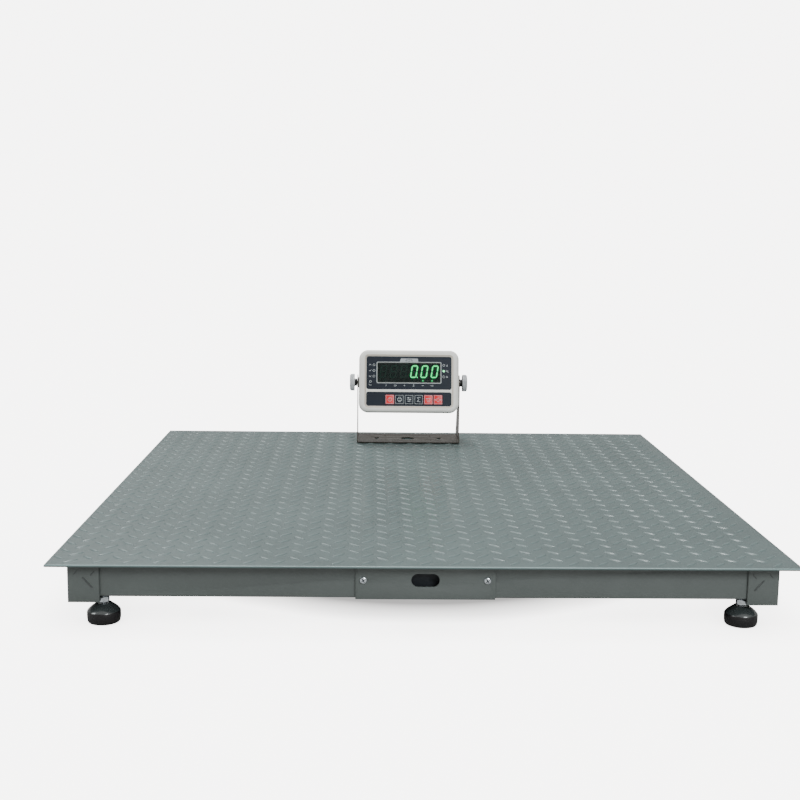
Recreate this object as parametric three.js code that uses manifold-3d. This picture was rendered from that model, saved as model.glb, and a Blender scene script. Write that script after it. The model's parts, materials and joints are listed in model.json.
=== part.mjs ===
// A pallet scale: a low steel weighing platform on four load cells with levelling feet, and the weight
// indicator that belongs to it, standing on the deck in its tilting bracket.
// Millimetres, +Z up. X runs across the platform, -Y is the side that the indicator faces.
// The origin is on the floor under the middle of the platform.
import * as THREE from "three";
import { mergeVertices } from "three/addons/utils/BufferGeometryUtils.js";
import Module from "manifold-3d";

const wasm = await Module();
wasm.setup();

// ---------------------------------------------------------------- driving dimensions
const deckSize = 1200;
const deckThickness = 4;
const deckTop = 107; // above the floor
const treadHeight = 2; // the room that the raised tread pattern takes above the deck's plain top
const sideOverhang = 31; // of the deck past the frame, left and right
const endOverhang = 22; // of the deck past the frame, front and rear
const frameWall = 4;
const sideWidth = 50; // of the side channels
const sideHeight = 64;
const endHeight = 55; // of the front and rear channels
const endRecess = 3; // of the front and rear channels behind the corner plates
const lip = 12; // flanges of the front and rear channels
const fit = 0.3; // gap between pieces that touch

const deckUnderside = deckTop - deckThickness;
const half = deckSize / 2;
const frameX = half - sideOverhang; // outer face of the side channels
const frameY = half - endOverhang; // outer face of the corner plates
const innerX = frameX - sideWidth;
const webY = frameY - endRecess; // outer face of the front and rear channels

const foot = {
  x: 517.5,
  y: 553,
  padRadius: 27,
  bandHeight: 19,
  padHeight: 32,
  studRadius: 6,
  studTop: 92,
  ballRadius: 7.8,
  ballHeight: 12,
  collarFrom: 33.5,
  collarHeight: 9,
  clearance: 12.5, // radius of the notch for the foot in the side channel's lower flange
};
const cell = {
  length: 130,
  width: 32,
  bottom: 64,
  height: 32,
  bossLength: 52,
  bossReach: 9.5, // of the raised end, from the cell's middle towards the platform's edge
  endToStud: 15,
  gaugeHeight: 80,
};
const nutHeight = 7;

const bracket = { width: 248, depth: 116, sheet: 2, pivotHeight: 142, pivotFromFront: 38, armEnd: 19 };
const bracketY = 500; // middle of the bracket's base on the deck
const casing = { width: 240, height: 150, corner: 22, frontDepth: 28, depth: 75, wall: 3, pivotDepth: 42 };
const restTilt = THREE.MathUtils.degToRad(13); // how far the indicator's face leans back at rest
const keyCount = 6;
const keyPitch = 23.1;

// ---------------------------------------------------------------- shapes and solids
const roundSides = 24;

function outline(points) {
  return new THREE.Shape(points.map(([x, y]) => new THREE.Vector2(x, y)));
}

function rectangle(width, height, x = 0, y = 0) {
  const [a, b] = [width / 2, height / 2];
  return outline([[x - a, y - b], [x + a, y - b], [x + a, y + b], [x - a, y + b]]);
}

function roundedRectangle(width, height, radius, x = 0, y = 0) {
  const shape = new THREE.Shape();
  const [a, b] = [width / 2 - radius, height / 2 - radius];
  shape.absarc(x + a, y + b, radius, 0, Math.PI / 2);
  shape.absarc(x - a, y + b, radius, Math.PI / 2, Math.PI);
  shape.absarc(x - a, y - b, radius, Math.PI, Math.PI * 1.5);
  shape.absarc(x + a, y - b, radius, Math.PI * 1.5, Math.PI * 2);
  return shape;
}

function disc(radius, x = 0, y = 0) {
  const shape = new THREE.Shape();
  shape.absarc(x, y, radius, 0, Math.PI * 2);
  return shape;
}

function hexagon(acrossFlats) {
  const radius = acrossFlats / Math.sqrt(3);
  const corner = (i) => [radius * Math.cos((i * Math.PI) / 3), radius * Math.sin((i * Math.PI) / 3)];
  return outline([0, 1, 2, 3, 4, 5].map(corner));
}

// An outline with holes, drawn up along +Z from z.
function prism(shape, height, z = 0, holes = [], curveSegments = 5) {
  shape.holes.push(...holes);
  const made = new THREE.ExtrudeGeometry(shape, { depth: height, bevelEnabled: false, curveSegments });
  return made.translate(0, 0, z);
}

// An outline in the X, Z plane, drawn along +Y from y.
function prismY(shape, length, y = 0, holes = [], curveSegments = 5) {
  const made = prism(shape, length, 0, holes, curveSegments);
  return made.rotateX(Math.PI / 2).translate(0, y + length, 0);
}

// An outline in the Y, Z plane, drawn along +X from x.
function prismX(shape, length, x = 0, holes = [], curveSegments = 5) {
  const made = prism(shape, length, 0, holes, curveSegments);
  return made.applyMatrix4(new THREE.Matrix4().set(0, 0, 1, x, 1, 0, 0, 0, 0, 1, 0, 0, 0, 0, 0, 1));
}

function box(x0, x1, y0, y1, z0, z1) {
  const made = new THREE.BoxGeometry(x1 - x0, y1 - y0, z1 - z0);
  return made.translate((x0 + x1) / 2, (y0 + y1) / 2, (z0 + z1) / 2);
}

// A profile of [radius, height] pairs turned about the Z axis.
function turned(profile, sides = roundSides) {
  const points = profile.map(([r, z]) => new THREE.Vector2(r, z));
  return new THREE.LatheGeometry(points, sides).rotateX(Math.PI / 2);
}

function solid(geometry) {
  const bare = new THREE.BufferGeometry().setAttribute("position", geometry.getAttribute("position").clone());
  if (geometry.index) bare.setIndex(geometry.index.clone());
  const merged = mergeVertices(bare, 1e-4);
  return new wasm.Manifold(
    new wasm.Mesh({
      numProp: 3,
      vertProperties: merged.getAttribute("position").array,
      triVerts: new Uint32Array(merged.index.array),
    }),
  );
}

function geometryOf(manifold) {
  const { vertProperties, triVerts } = manifold.getMesh();
  const made = new THREE.BufferGeometry();
  made.setAttribute("position", new THREE.BufferAttribute(vertProperties, 3));
  made.setIndex(new THREE.BufferAttribute(triVerts, 1));
  return made;
}

function cut(base, ...tools) {
  return geometryOf(tools.reduce((left, tool) => left.subtract(solid(tool)), solid(base)));
}

function join(...pieces) {
  return geometryOf(pieces.map(solid).reduce((whole, piece) => whole.add(piece)));
}

// ---------------------------------------------------------------- materials
function material(colour, roughness, metalness) {
  return new THREE.MeshStandardMaterial({ color: colour, roughness, metalness });
}
const paint = material(0x7d8a87, 0.5, 0.3);
const zinc = material(0xb9c3cc, 0.35, 0.9);
const blackPlastic = material(0x141516, 0.35, 0);
const stainless = material(0x8c8a86, 0.35, 0.95);
const nickel = material(0xa9adb0, 0.4, 0.9);
const ivory = material(0xd6d0c6, 0.5, 0);
const panelInk = material(0x1f2530, 0.4, 0);
const smoked = material(0x0b1512, 0.15, 0);
const redKey = material(0xd9232b, 0.4, 0);
const greyKnob = material(0xb4b5ba, 0.5, 0);
const rubber = material(0x1b1b1b, 0.8, 0);
const board = material(0x1d5a34, 0.6, 0);
const cableSheath = material(0x24262a, 0.6, 0);
const boxGrey = material(0x9a9fa2, 0.5, 0);

const scale = new THREE.Group();

function add(name, geometry, look, parent = scale) {
  const mesh = new THREE.Mesh(geometry, look);
  mesh.name = name;
  parent.add(mesh);
  return mesh;
}

// ---------------------------------------------------------------- platform
function deckPlate() {
  return box(-half, half, -half, half, deckUnderside, deckTop);
}

// A C section that opens towards the middle of the platform; side is 1 on the right and -1 on the left.
function sideChannel(side) {
  const [outer, inner] = [side * frameX, side * innerX];
  const web = side * (frameX - frameWall);
  const [low, high] = [deckUnderside - sideHeight, deckUnderside];
  const section = outline([
    [outer, low], [outer, high], [inner, high], [inner, high - frameWall],
    [web, high - frameWall], [web, low + frameWall], [inner, low + frameWall], [inner, low],
  ]);
  const length = 2 * (frameY - frameWall);
  const notches = [-1, 1].map((end) =>
    prism(disc(foot.clearance, side * foot.x, end * foot.y), 3 * frameWall, low - frameWall));
  return cut(prismY(section, length, -length / 2), ...notches);
}

function cornerPlate(side, end) {
  const x = side * (frameX - sideWidth / 2);
  const y = end * (frameY - frameWall / 2);
  const [w, t] = [sideWidth / 2, frameWall / 2];
  return box(x - w, x + w, y - t, y + t, deckUnderside - sideHeight, deckUnderside);
}

// The channel under the deck's front (end -1) or rear (end 1) edge, between the side channels.
function endChannel(end) {
  const [outer, inner] = [end * webY, end * (webY - frameWall)];
  const flange = end * (webY - lip);
  const [low, high] = [deckUnderside - endHeight, deckUnderside];
  const section = outline([
    [outer, low], [outer, high], [flange, high], [flange, high - frameWall],
    [inner, high - frameWall], [inner, low + frameWall], [flange, low + frameWall], [flange, low],
  ]);
  return prismX(section, 2 * innerX, -innerX);
}

const cover = { width: 224, height: 55, sheet: 3, z: 74, slot: [45.4, 21.5], screwX: 99.4, holeZ: 78 };
const serviceWindow = { width: 112, height: 34 };
const screwHoles = () => [-1, 1].map((side) => disc(3.3, side * cover.screwX, cover.holeZ));

function frontChannel() {
  const opening = rectangle(serviceWindow.width, serviceWindow.height, 0, cover.holeZ);
  const through = [opening, ...screwHoles()].map((hole) => prismY(hole, 3 * frameWall, -webY - frameWall));
  return cut(endChannel(-1), ...through);
}

// The plate over the service window, with an oblong hole for the cable to the indicator.
function accessCover() {
  const plate = rectangle(cover.width, cover.height, 0, cover.z);
  const slot = roundedRectangle(cover.slot[0], cover.slot[1], cover.slot[1] / 2 - 0.01, 0, cover.holeZ);
  return prismY(plate, cover.sheet, -webY - cover.sheet, [slot, ...screwHoles()]);
}

function coverScrew(side) {
  const profile = [[0, 0], [2.6, 0], [2.6, 11], [5.75, 11], [5.75, 12.6], [4.2, 14.4], [0, 14.8]];
  const made = turned(profile, 16).rotateX(Math.PI / 2);
  return made.translate(side * cover.screwX, -webY - cover.sheet + 11 - fit, cover.holeZ);
}

// A U section under the deck, open upwards and welded along both edges.
const stiffener = { width: 60, height: 50, wall: 3, length: 960, places: [-360, -120, 120, 360] };

function stiffenerBeam(x) {
  const w = stiffener.width / 2;
  const t = stiffener.wall;
  const low = deckUnderside - stiffener.height;
  const section = outline([
    [x - w, low], [x + w, low], [x + w, deckUnderside], [x + w - t, deckUnderside],
    [x + w - t, low + t], [x - w + t, low + t], [x - w + t, deckUnderside], [x - w, deckUnderside],
  ]);
  return prismY(section, stiffener.length, -stiffener.length / 2);
}

// A shear beam load cell. Its raised end is bolted to the deck; its free end carries the foot's stud.
const cellTip = foot.x + cell.endToStud;
const cellRoot = cellTip - cell.length;
const cableEntry = { height: 87, boss: 6 };

function loadCell(side, end) {
  const y = foot.y;
  const top = cell.bottom + cell.height;
  const w = cell.width / 2;
  const beam = join(
    box(cellRoot, cellTip, y - w, y + w, cell.bottom, top),
    box(cellRoot, cellRoot + cell.bossLength, y - w, y + cell.bossReach, top - 1, deckUnderside),
    turned([[0, 0], [5, 0], [5, cableEntry.boss + 1], [0, cableEntry.boss + 1]], 12)
      .rotateY(Math.PI / 2)
      .translate(cellRoot - cableEntry.boss, y, cableEntry.height),
  );
  const studHole = prism(disc(6.6, foot.x, y), 60, cell.bottom - 10);
  const boltHoles = [13, 39].map((from) => prism(disc(6.5, cellRoot + from, y), 60, cell.bottom - 10));
  const gaugePockets = [y - w - 1, y + w - 7].map((from) =>
    prismY(disc(11, cellRoot + 78, cell.gaugeHeight), 8, from));
  const made = cut(beam, studHole, ...boltHoles, ...gaugePockets);
  return mirrored(made, side, end);
}

// The same shape on another corner. Mirroring once turns the faces inside out, so they are turned back.
function mirrored(geometry, side, end) {
  geometry.scale(side, end, 1);
  if (side * end < 0) {
    const faces = geometry.index.array;
    for (let i = 0; i < faces.length; i += 3) [faces[i + 1], faces[i + 2]] = [faces[i + 2], faces[i + 1]];
  }
  return geometry;
}

// The four-wire box that joins the load cells' cables, behind the access cover.
const junction = {
  width: 120,
  depth: 46,
  height: 46,
  front: -556,
  wall: 3,
  glandLength: 12,
  glandHeight: 83,
};
const glandY = [-544, -521];

function junctionBox() {
  const { width, depth, height, front, wall } = junction;
  const w = width / 2;
  const low = deckUnderside - height;
  const shell = box(-w, w, front, front + depth, low, deckUnderside);
  const room = box(-w + wall, w - wall, front - 1, front + depth - wall, low + wall, deckUnderside - wall);
  const glands = [-1, 1].flatMap((side) =>
    glandY.map((y) =>
      turned([[0, 0], [7, 0], [7, 4], [5.5, 5], [5, junction.glandLength], [0, junction.glandLength]], 12)
        .rotateY((side * Math.PI) / 2)
        .translate(side * (w - 0.5), y, junction.glandHeight),
    ),
  );
  return cut(join(shell, ...glands), room);
}

function junctionLid() {
  const w = junction.width / 2;
  const back = junction.front - fit;
  return box(-w, w, back - 3, back, deckUnderside - junction.height, deckUnderside - fit);
}

// A load cell's cable lies along the deck's underside from the cell to the junction box.
const cable = { radius: 2.5, bend: 80, runX: 240 };

function cellCable(side, end) {
  const high = deckUnderside - cable.radius - 0.6;
  const start = cellRoot - cableEntry.boss - fit;
  const finish = junction.width / 2 + junction.glandLength - 0.5 + fit;
  const y = end * foot.y;
  const route = new THREE.CurvePath();
  const lines = (...points) =>
    points.slice(1).forEach((to, i) => route.add(new THREE.LineCurve3(points[i], to)));
  const at = (x, yy, z) => new THREE.Vector3(side * x, yy, z);
  const entry = cableEntry.height;
  const leaving = [at(start, y, entry), at(start - 12, y, entry), at(start - 50, y, high)];
  const low = junction.glandHeight;
  const arriving = (yy) => [at(finish + 50, yy, high), at(finish + 12, yy, low), at(finish, yy, low)];
  if (end < 0) {
    lines(...leaving, ...arriving(glandY[0]));
  } else {
    const lower = glandY[1];
    const { bend, runX } = cable;
    const corner = (from, middle, to) => route.add(new THREE.QuadraticBezierCurve3(from, middle, to));
    lines(...leaving, at(runX + bend, y, high));
    corner(at(runX + bend, y, high), at(runX, y, high), at(runX, y - bend, high));
    lines(at(runX, y - bend, high), at(runX, lower + bend, high));
    corner(at(runX, lower + bend, high), at(runX, lower, high), at(runX - bend, lower, high));
    lines(at(runX - bend, lower, high), ...arriving(lower));
  }
  const points = route.curves.flatMap((piece, i) => {
    const steps = piece.isLineCurve3 ? 1 : 6;
    return piece.getPoints(steps).slice(i ? 1 : 0);
  });
  return tube(points, cable.radius, 6);
}

// A closed tube through the points, with one ring of corners at each.
function tube(points, radius, sides) {
  const section = [...Array(sides).keys()].map((i) => (i * 2 * Math.PI) / sides);
  const up = new THREE.Vector3(0, 0, 1);
  const positions = [];
  points.forEach((point, i) => {
    const before = points[Math.max(i - 1, 0)];
    const after = points[Math.min(i + 1, points.length - 1)];
    const along = new THREE.Vector3().subVectors(after, before).normalize();
    const across = new THREE.Vector3().crossVectors(along, up).normalize();
    const normal = new THREE.Vector3().crossVectors(along, across);
    section.forEach((angle) => {
      const corner = point.clone().addScaledVector(across, radius * Math.cos(angle));
      positions.push(...corner.addScaledVector(normal, radius * Math.sin(angle)).toArray());
    });
  });
  const faces = [];
  const last = (points.length - 1) * sides;
  for (let ring = 0; ring < points.length - 1; ring++) {
    for (let i = 0; i < sides; i++) {
      const [a, b] = [ring * sides + i, ring * sides + ((i + 1) % sides)];
      faces.push(a, b, b + sides, a, b + sides, a + sides);
    }
  }
  for (let i = 1; i < sides - 1; i++) {
    faces.push(0, i + 1, i, last, last + i, last + i + 1);
  }
  const made = new THREE.BufferGeometry();
  made.setAttribute("position", new THREE.Float32BufferAttribute(positions, 3));
  made.setIndex(faces);
  return made;
}

// ---------------------------------------------------------------- levelling feet
function footPad() {
  const { padRadius: r, padHeight: h, bandHeight: b } = foot;
  const band = [[0, 0], [r - 2.5, 0], [r - 0.8, 3], [r, 9], [r, b]];
  const dome = [[r - 1.6, b + 2], [r - 8, b + 8.4], [13, h], [7, h]];
  const socket = [[7, 20], [8.3, 12.5], [6.6, 6.5], [0, 4]];
  return turned([...band, ...dome, ...socket]);
}

function footStud() {
  const { studRadius: r, ballRadius: b, ballHeight: z, collarFrom: c, collarHeight } = foot;
  const ball = [[0, z - b], [5, z - 6], [b, z], [5.6, z + 6]];
  const shank = [[5.2, 24], [5.2, c + 0.5], [r, c + 1], [r, foot.studTop], [0, foot.studTop]];
  return join(turned([...ball, ...shank]), prism(hexagon(17), collarHeight, c));
}

function lockNut() {
  return prism(hexagon(18), nutHeight, cell.bottom - nutHeight, [disc(6.6)]);
}

// ---------------------------------------------------------------- indicator bracket
const pivotY = -bracket.depth / 2 + bracket.pivotFromFront;

function keyhole(x, y) {
  const shape = new THREE.Shape();
  const [big, small, run] = [6.5, 3.4, 15];
  const lean = Math.asin(small / big);
  shape.absarc(x, y, big, -Math.PI / 2 + lean, Math.PI * 1.5 - lean);
  shape.absarc(x, y - run, small, Math.PI, Math.PI * 2);
  return shape;
}

function bracketSheet() {
  const { width, depth, sheet, pivotHeight, armEnd } = bracket;
  const front = -depth / 2;
  const holes = [
    disc(17, 0, front + 52),
    ...[-76, 76].map((x) => keyhole(x, front + 55)),
    ...[-55, 55].flatMap((x) => [26, 80].map((y) => disc(2.6, x, front + y))),
  ];
  const base = prism(rectangle(width, depth), sheet, 0, holes, 4);
  const arm = () => {
    const shape = new THREE.Shape();
    shape.moveTo(pivotY, 0);
    shape.lineTo(front, 0);
    shape.lineTo(front, 7);
    shape.lineTo(pivotY - armEnd, 22);
    shape.absarc(pivotY, pivotHeight, armEnd, Math.PI, 0, true);
    shape.lineTo(-front, 12);
    shape.lineTo(-front, 0);
    return shape;
  };
  const armAt = (x) => prismX(arm(), sheet, x, [disc(4.5, pivotY, pivotHeight)]);
  return join(base, armAt(-width / 2), armAt(width / 2 - sheet));
}

// ---------------------------------------------------------------- indicator casing
// In the casing's own frame the pivot is the origin, the face looks along -Y, and depths count from the face.
const inFromFace = (depth) => -casing.pivotDepth + depth;
const displayPanel = { width: 205, height: 80, z: 19.6, recess: 5, corner: 5 };
const keyPanel = { width: 205, height: 34.4, z: -43.2, recess: 5, corner: 5 };
const displayWindow = { width: 154, height: 50, z: 20.6, corner: 3 };
const key = { width: 20.4, height: 22, thickness: 1.6, x: -45.6, z: -44.2 };
const panelSheet = 1;

const panelShape = (panel, less) =>
  roundedRectangle(panel.width - less, panel.height - less, panel.corner - less / 2, 0, panel.z);
const keyX = (i) => key.x + i * keyPitch;

function frontCasing() {
  const { width, height, corner, frontDepth, wall } = casing;
  const block = prismY(roundedRectangle(width, height, corner), frontDepth, inFromFace(0));
  const room = prismY(
    roundedRectangle(width - 2 * wall, height - 2 * wall, corner - wall), frontDepth, inFromFace(8));
  const pockets = [displayPanel, keyPanel].map((panel) =>
    prismY(panelShape(panel, 0), panel.recess + 1, inFromFace(-1), [], 3));
  const openings = [
    rectangle(displayWindow.width + 4, displayWindow.height + 2, 0, displayWindow.z),
    rectangle(keyPitch * keyCount + 3, key.height + 2, keyX(2.5), key.z),
  ].map((shape) => prismY(shape, 12, inFromFace(0)));
  return cut(block, room, ...pockets, ...openings);
}

function displayOverlay() {
  const opening = roundedRectangle(
    displayWindow.width, displayWindow.height, displayWindow.corner, 0, displayWindow.z);
  const depth = displayPanel.recess - panelSheet - fit;
  return prismY(panelShape(displayPanel, 2 * fit), panelSheet, inFromFace(depth), [opening], 3);
}

function windowPane() {
  const shape = roundedRectangle(
    displayWindow.width - 2 * fit, displayWindow.height - 2 * fit, displayWindow.corner, 0, displayWindow.z);
  return prismY(shape, panelSheet, inFromFace(displayPanel.recess - panelSheet - fit), [], 3);
}

function keyOverlay() {
  const depth = keyPanel.recess - panelSheet - fit;
  const sheet = prismY(panelShape(keyPanel, 2 * fit), panelSheet, inFromFace(depth), [], 3);
  const openings = [...Array(keyCount).keys()].map((i) =>
    prismY(rectangle(key.width + 2 * fit, key.height + 2 * fit, keyX(i), key.z), 4, inFromFace(depth - 1)));
  return cut(sheet, ...openings);
}

function keyCap(i) {
  const depth = keyPanel.recess - panelSheet - fit - 0.5;
  const shape = roundedRectangle(key.width, key.height, 1.5, keyX(i), key.z);
  return prismY(shape, key.thickness, inFromFace(depth), [], 2);
}

// The circuit board behind the face: the six digits' block and one switch behind each key.
function displayBoard() {
  const [front, back] = [inFromFace(16), inFromFace(17.6)];
  const digits = box(-75, 75, inFromFace(8.6), front + 0.5, displayWindow.z - 23, displayWindow.z + 23);
  const switches = [...Array(keyCount).keys()].map((i) =>
    box(keyX(i) - 4, keyX(i) + 4, inFromFace(6), front + 0.5, key.z - 4, key.z + 4));
  return join(box(-100, 100, front, back, -66, 66), digits, ...switches);
}

const boss = { radius: 13, tip: 119.5, bore: 4.4 };
const glandPlace = { x: -70, z: -42 };

function rearCasing() {
  const { width, height, corner, frontDepth, depth, wall } = casing;
  const [w, h, r] = [width - 4, height - 4, corner - 2];
  const length = depth - frontDepth - fit;
  const start = inFromFace(frontDepth + fit);
  const shell = prismY(roundedRectangle(w, h, r), length, start);
  const bosses = [-1, 1].map((side) =>
    prismX(disc(boss.radius), 20, side < 0 ? -boss.tip : boss.tip - 20));
  const room = prismY(roundedRectangle(w - 2 * wall, h - 2 * wall, r - wall), length - wall + 1, start - 1);
  const posts = [-1, 1].map((side) => prismX(disc(8), 14, side < 0 ? -116.5 : 102.5, [], 4));
  const bores = [-1, 1].map((side) => prismX(disc(boss.bore), 22, side < 0 ? -boss.tip - 1 : boss.tip - 21));
  const glandHole = prismY(disc(6.5, glandPlace.x, glandPlace.z), 3 * wall, inFromFace(depth) - 2 * wall);
  const hollow = cut(join(shell, ...bosses), room);
  return cut(join(hollow, ...posts), ...bores, glandHole);
}

function mainBoard() {
  const front = inFromFace(34);
  const chips = [[-60, -14], [-20, 18], [38, 40]].map(([x, z]) =>
    box(x - 9, x + 9, front - 4, front + 0.5, z - 7, z + 7));
  return join(box(-88, 88, front, front + 1.6, -34, 62), ...chips);
}

function battery() {
  return box(-22, 78, inFromFace(38), inFromFace(71), -66, -20);
}

function cableGland() {
  const back = inFromFace(casing.depth);
  const profile = [
    [3.6, -7], [6, -7], [6, fit], [10, fit], [10, 6], [8.6, 7.5], [8.6, 15], [6.5, 19], [3.6, 19], [3.6, -7],
  ];
  return turned(profile, 16).rotateX(-Math.PI / 2).translate(glandPlace.x, back, glandPlace.z);
}

const arm = { inner: bracket.width / 2 - bracket.sheet, outer: bracket.width / 2 };
const knob = { radius: 20.5, thickness: 18, rimFrom: 6, stud: 4 };

function frictionWasher(side) {
  const from = boss.tip + fit;
  const thickness = arm.inner - fit - from;
  return prismX(disc(boss.radius), thickness, side > 0 ? from : -from - thickness, [disc(5)]);
}

// A round clamping knob: a cap that is hollow behind its rim, on a threaded stud.
function clampKnob(side) {
  const face = arm.outer + 0.5;
  const [r, t] = [knob.radius, knob.thickness];
  const studStart = -(face - 110);
  const core = [[0, studStart], [knob.stud, studStart], [knob.stud, 0], [9, 0], [9, 12]];
  const inside = [[r - 3, 12], [r - 3, knob.rimFrom], [r - 0.8, knob.rimFrom], [r, knob.rimFrom + 1.5]];
  const outside = [[r, t - 4], [r - 1.5, t - 1.5], [r - 6, t], [0, t]];
  const made = turned([...core, ...inside, ...outside]).rotateY((side * Math.PI) / 2);
  return made.translate(side * face, 0, 0);
}

// ---------------------------------------------------------------- assembly
const sides = { left: -1, right: 1 };
const ends = { front: -1, rear: 1 };

add("deck_plate", deckPlate(), paint);
add("front_channel", frontChannel(), paint);
add("rear_channel", endChannel(1), paint);
stiffener.places.forEach((x, i) => add(`stiffener_${i + 1}`, stiffenerBeam(x), paint));
add("access_cover", accessCover(), paint);
add("junction_box", junctionBox(), boxGrey);
add("junction_box_lid", junctionLid(), boxGrey);

for (const [sideName, side] of Object.entries(sides)) {
  add(`${sideName}_channel`, sideChannel(side), paint);
  add(`cover_screw_${sideName}`, coverScrew(side), zinc);
  for (const [endName, end] of Object.entries(ends)) {
    const corner = `${endName}_${sideName}`;
    add(`corner_plate_${corner}`, cornerPlate(side, end), paint);
    add(`load_cell_${corner}`, loadCell(side, end), nickel);
    add(`cell_cable_${corner}`, cellCable(side, end), cableSheath);
    const pieces = {
      foot_pad: [footPad(), blackPlastic],
      foot_stud: [footStud(), zinc],
      lock_nut: [lockNut(), zinc],
    };
    for (const [name, [geometry, look]] of Object.entries(pieces)) {
      add(`${name}_${corner}`, geometry, look).position.set(side * foot.x, end * foot.y, 0);
    }
  }
}

const indicator = new THREE.Group();
indicator.position.set(0, bracketY, deckTop + treadHeight);
scale.add(indicator);
add("indicator_bracket", bracketSheet(), stainless, indicator);

const head = new THREE.Group();
head.position.set(0, pivotY, bracket.pivotHeight);
head.rotation.x = -restTilt;
indicator.add(head);

add("front_casing", frontCasing(), ivory, head);
add("rear_casing", rearCasing(), ivory, head);
add("display_overlay", displayOverlay(), panelInk, head);
add("display_window", windowPane(), smoked, head);
add("key_overlay", keyOverlay(), panelInk, head);
["power", "print", "function", "total", "tare", "zero"].forEach((name, i) => {
  const red = ["power", "tare", "zero"].includes(name);
  add(`key_${name}`, keyCap(i), red ? redKey : panelInk, head);
});
add("display_board", displayBoard(), board, head);
add("main_board", mainBoard(), board, head);
add("battery", battery(), blackPlastic, head);
add("rear_cable_gland", cableGland(), blackPlastic, head);
for (const [sideName, side] of Object.entries(sides)) {
  add(`friction_washer_${sideName}`, frictionWasher(side), rubber, head);
  add(`clamp_knob_${sideName}`, clampKnob(side), greyKnob, head);
}

export default scale;
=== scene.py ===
"""The looks of a pallet scale: a tread plate platform on levelling feet, and its weight indicator.

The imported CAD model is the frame. Metres, +Z up, the indicator faces -Y.
"""

import json
import math

import bmesh
import bpy
from mathutils import Matrix, Vector
from mathutils.geometry import tessellate_polygon


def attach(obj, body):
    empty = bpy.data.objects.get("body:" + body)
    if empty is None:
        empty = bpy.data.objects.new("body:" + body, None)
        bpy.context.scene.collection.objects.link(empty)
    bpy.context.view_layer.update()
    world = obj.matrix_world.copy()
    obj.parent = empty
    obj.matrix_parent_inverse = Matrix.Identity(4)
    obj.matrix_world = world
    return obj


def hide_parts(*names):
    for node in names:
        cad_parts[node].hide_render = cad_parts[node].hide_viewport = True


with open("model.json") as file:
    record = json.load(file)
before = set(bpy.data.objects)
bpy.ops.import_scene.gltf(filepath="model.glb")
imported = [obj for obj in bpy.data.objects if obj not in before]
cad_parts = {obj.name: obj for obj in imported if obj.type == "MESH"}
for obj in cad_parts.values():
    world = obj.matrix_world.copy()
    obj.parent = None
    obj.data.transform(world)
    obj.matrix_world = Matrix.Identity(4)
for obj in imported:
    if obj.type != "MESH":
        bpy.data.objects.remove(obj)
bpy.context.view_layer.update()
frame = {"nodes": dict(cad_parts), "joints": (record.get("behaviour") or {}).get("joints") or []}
nodes = frame["nodes"]
joints = {joint["name"]: joint for joint in frame["joints"]}
MM = 0.001
QUARTER_TURN = math.pi / 2
CORNERS = {"front_left": (-1, -1), "front_right": (1, -1), "rear_left": (-1, 1), "rear_right": (1, 1)}
SIDES = {"left": -1, "right": 1}
KEYS = ["power", "print", "function", "total", "tare", "zero"]
RED_KEYS = ("power", "tare", "zero")


# ---------------------------------------------------------------- places taken from the frame
def listed(names):
    """A single name as a list; a list stays as it is."""
    return [names] if isinstance(names, str) else names


def rotation(angle, axis):
    return Matrix.Rotation(angle, 4, axis)


def corner_points(names, into=Matrix()):
    """Lowest and highest corner of one CAD node or of several, in the row frame or in another one."""
    points = [into @ v.co for name in listed(names) for v in nodes[name].data.vertices]
    return [Vector(pick(p[i] for p in points) for i in range(3)) for pick in (min, max)]


DECK_LOW, DECK_HIGH = corner_points("deck_plate")
DECK_TOP, DECK_UNDER = DECK_HIGH.z, DECK_LOW.z
PIVOT = Vector(joints["casing_tilt"]["pos_m"])
INWARD = Vector(joints["key_power_press"]["axis"])
CASING = Matrix.Translation(PIVOT) @ rotation(math.atan2(INWARD.z, INWARD.y), "X")
FROM_CASING = CASING.inverted()
FACE_LOW, FACE_HIGH = corner_points("front_casing", FROM_CASING)
FACE_Y = FACE_LOW.y
BACK = corner_points("rear_casing", FROM_CASING)[1]


def middle_and_size(names, into=FROM_CASING):
    low, high = corner_points(names, into)
    return (low + high) / 2, high - low


def depth_of(node):
    """How far the front of a node lies behind the indicator's face."""
    return corner_points(node, FROM_CASING)[0].y - FACE_Y


def in_casing(x, z, depth):
    """A point on the indicator's face, at a depth behind it."""
    return CASING @ Vector((x, FACE_Y + depth, z))


# ---------------------------------------------------------------- materials
def node_of(tree, kind, **inputs):
    made = tree.nodes.new(kind)
    for name, value in inputs.items():
        made.inputs[name.replace("_", " ")].default_value = value
    return made


def link(tree, *pairs):
    for output, place in pairs:
        tree.links.new(output, place)


def noise(tree, scale, detail=3.0, stretch=(1, 1, 1), roughness=0.5):
    """A noise texture fixed to the object; its output socket."""
    where = tree.nodes.new("ShaderNodeTexCoord")
    mapping = node_of(tree, "ShaderNodeMapping", Scale=stretch)
    texture = node_of(tree, "ShaderNodeTexNoise", Scale=scale, Detail=detail, Roughness=roughness)
    link(tree, (where.outputs["Object"], mapping.inputs["Vector"]),
         (mapping.outputs["Vector"], texture.inputs["Vector"]))
    return texture.outputs["Fac"]


def ramp(tree, value, stops):
    """A colour ramp over a value; stops are (place, colour) pairs."""
    made = tree.nodes.new("ShaderNodeValToRGB")
    ends = made.color_ramp.elements
    while len(ends) < len(stops):
        ends.new(0.5)
    for element, (place, colour) in zip(ends, stops):
        element.position = place
        element.color = (*colour, 1)
    link(tree, (value, made.inputs["Fac"]))
    return made.outputs["Color"]


def shade(colour, factor):
    return tuple(min(1.0, c * factor) for c in colour)


def tones(colour, dark, light):
    """A ramp's stops, from a darker to a lighter tone of one colour."""
    return [(0.3, shade(colour, dark)), (0.7, shade(colour, light))]


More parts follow.
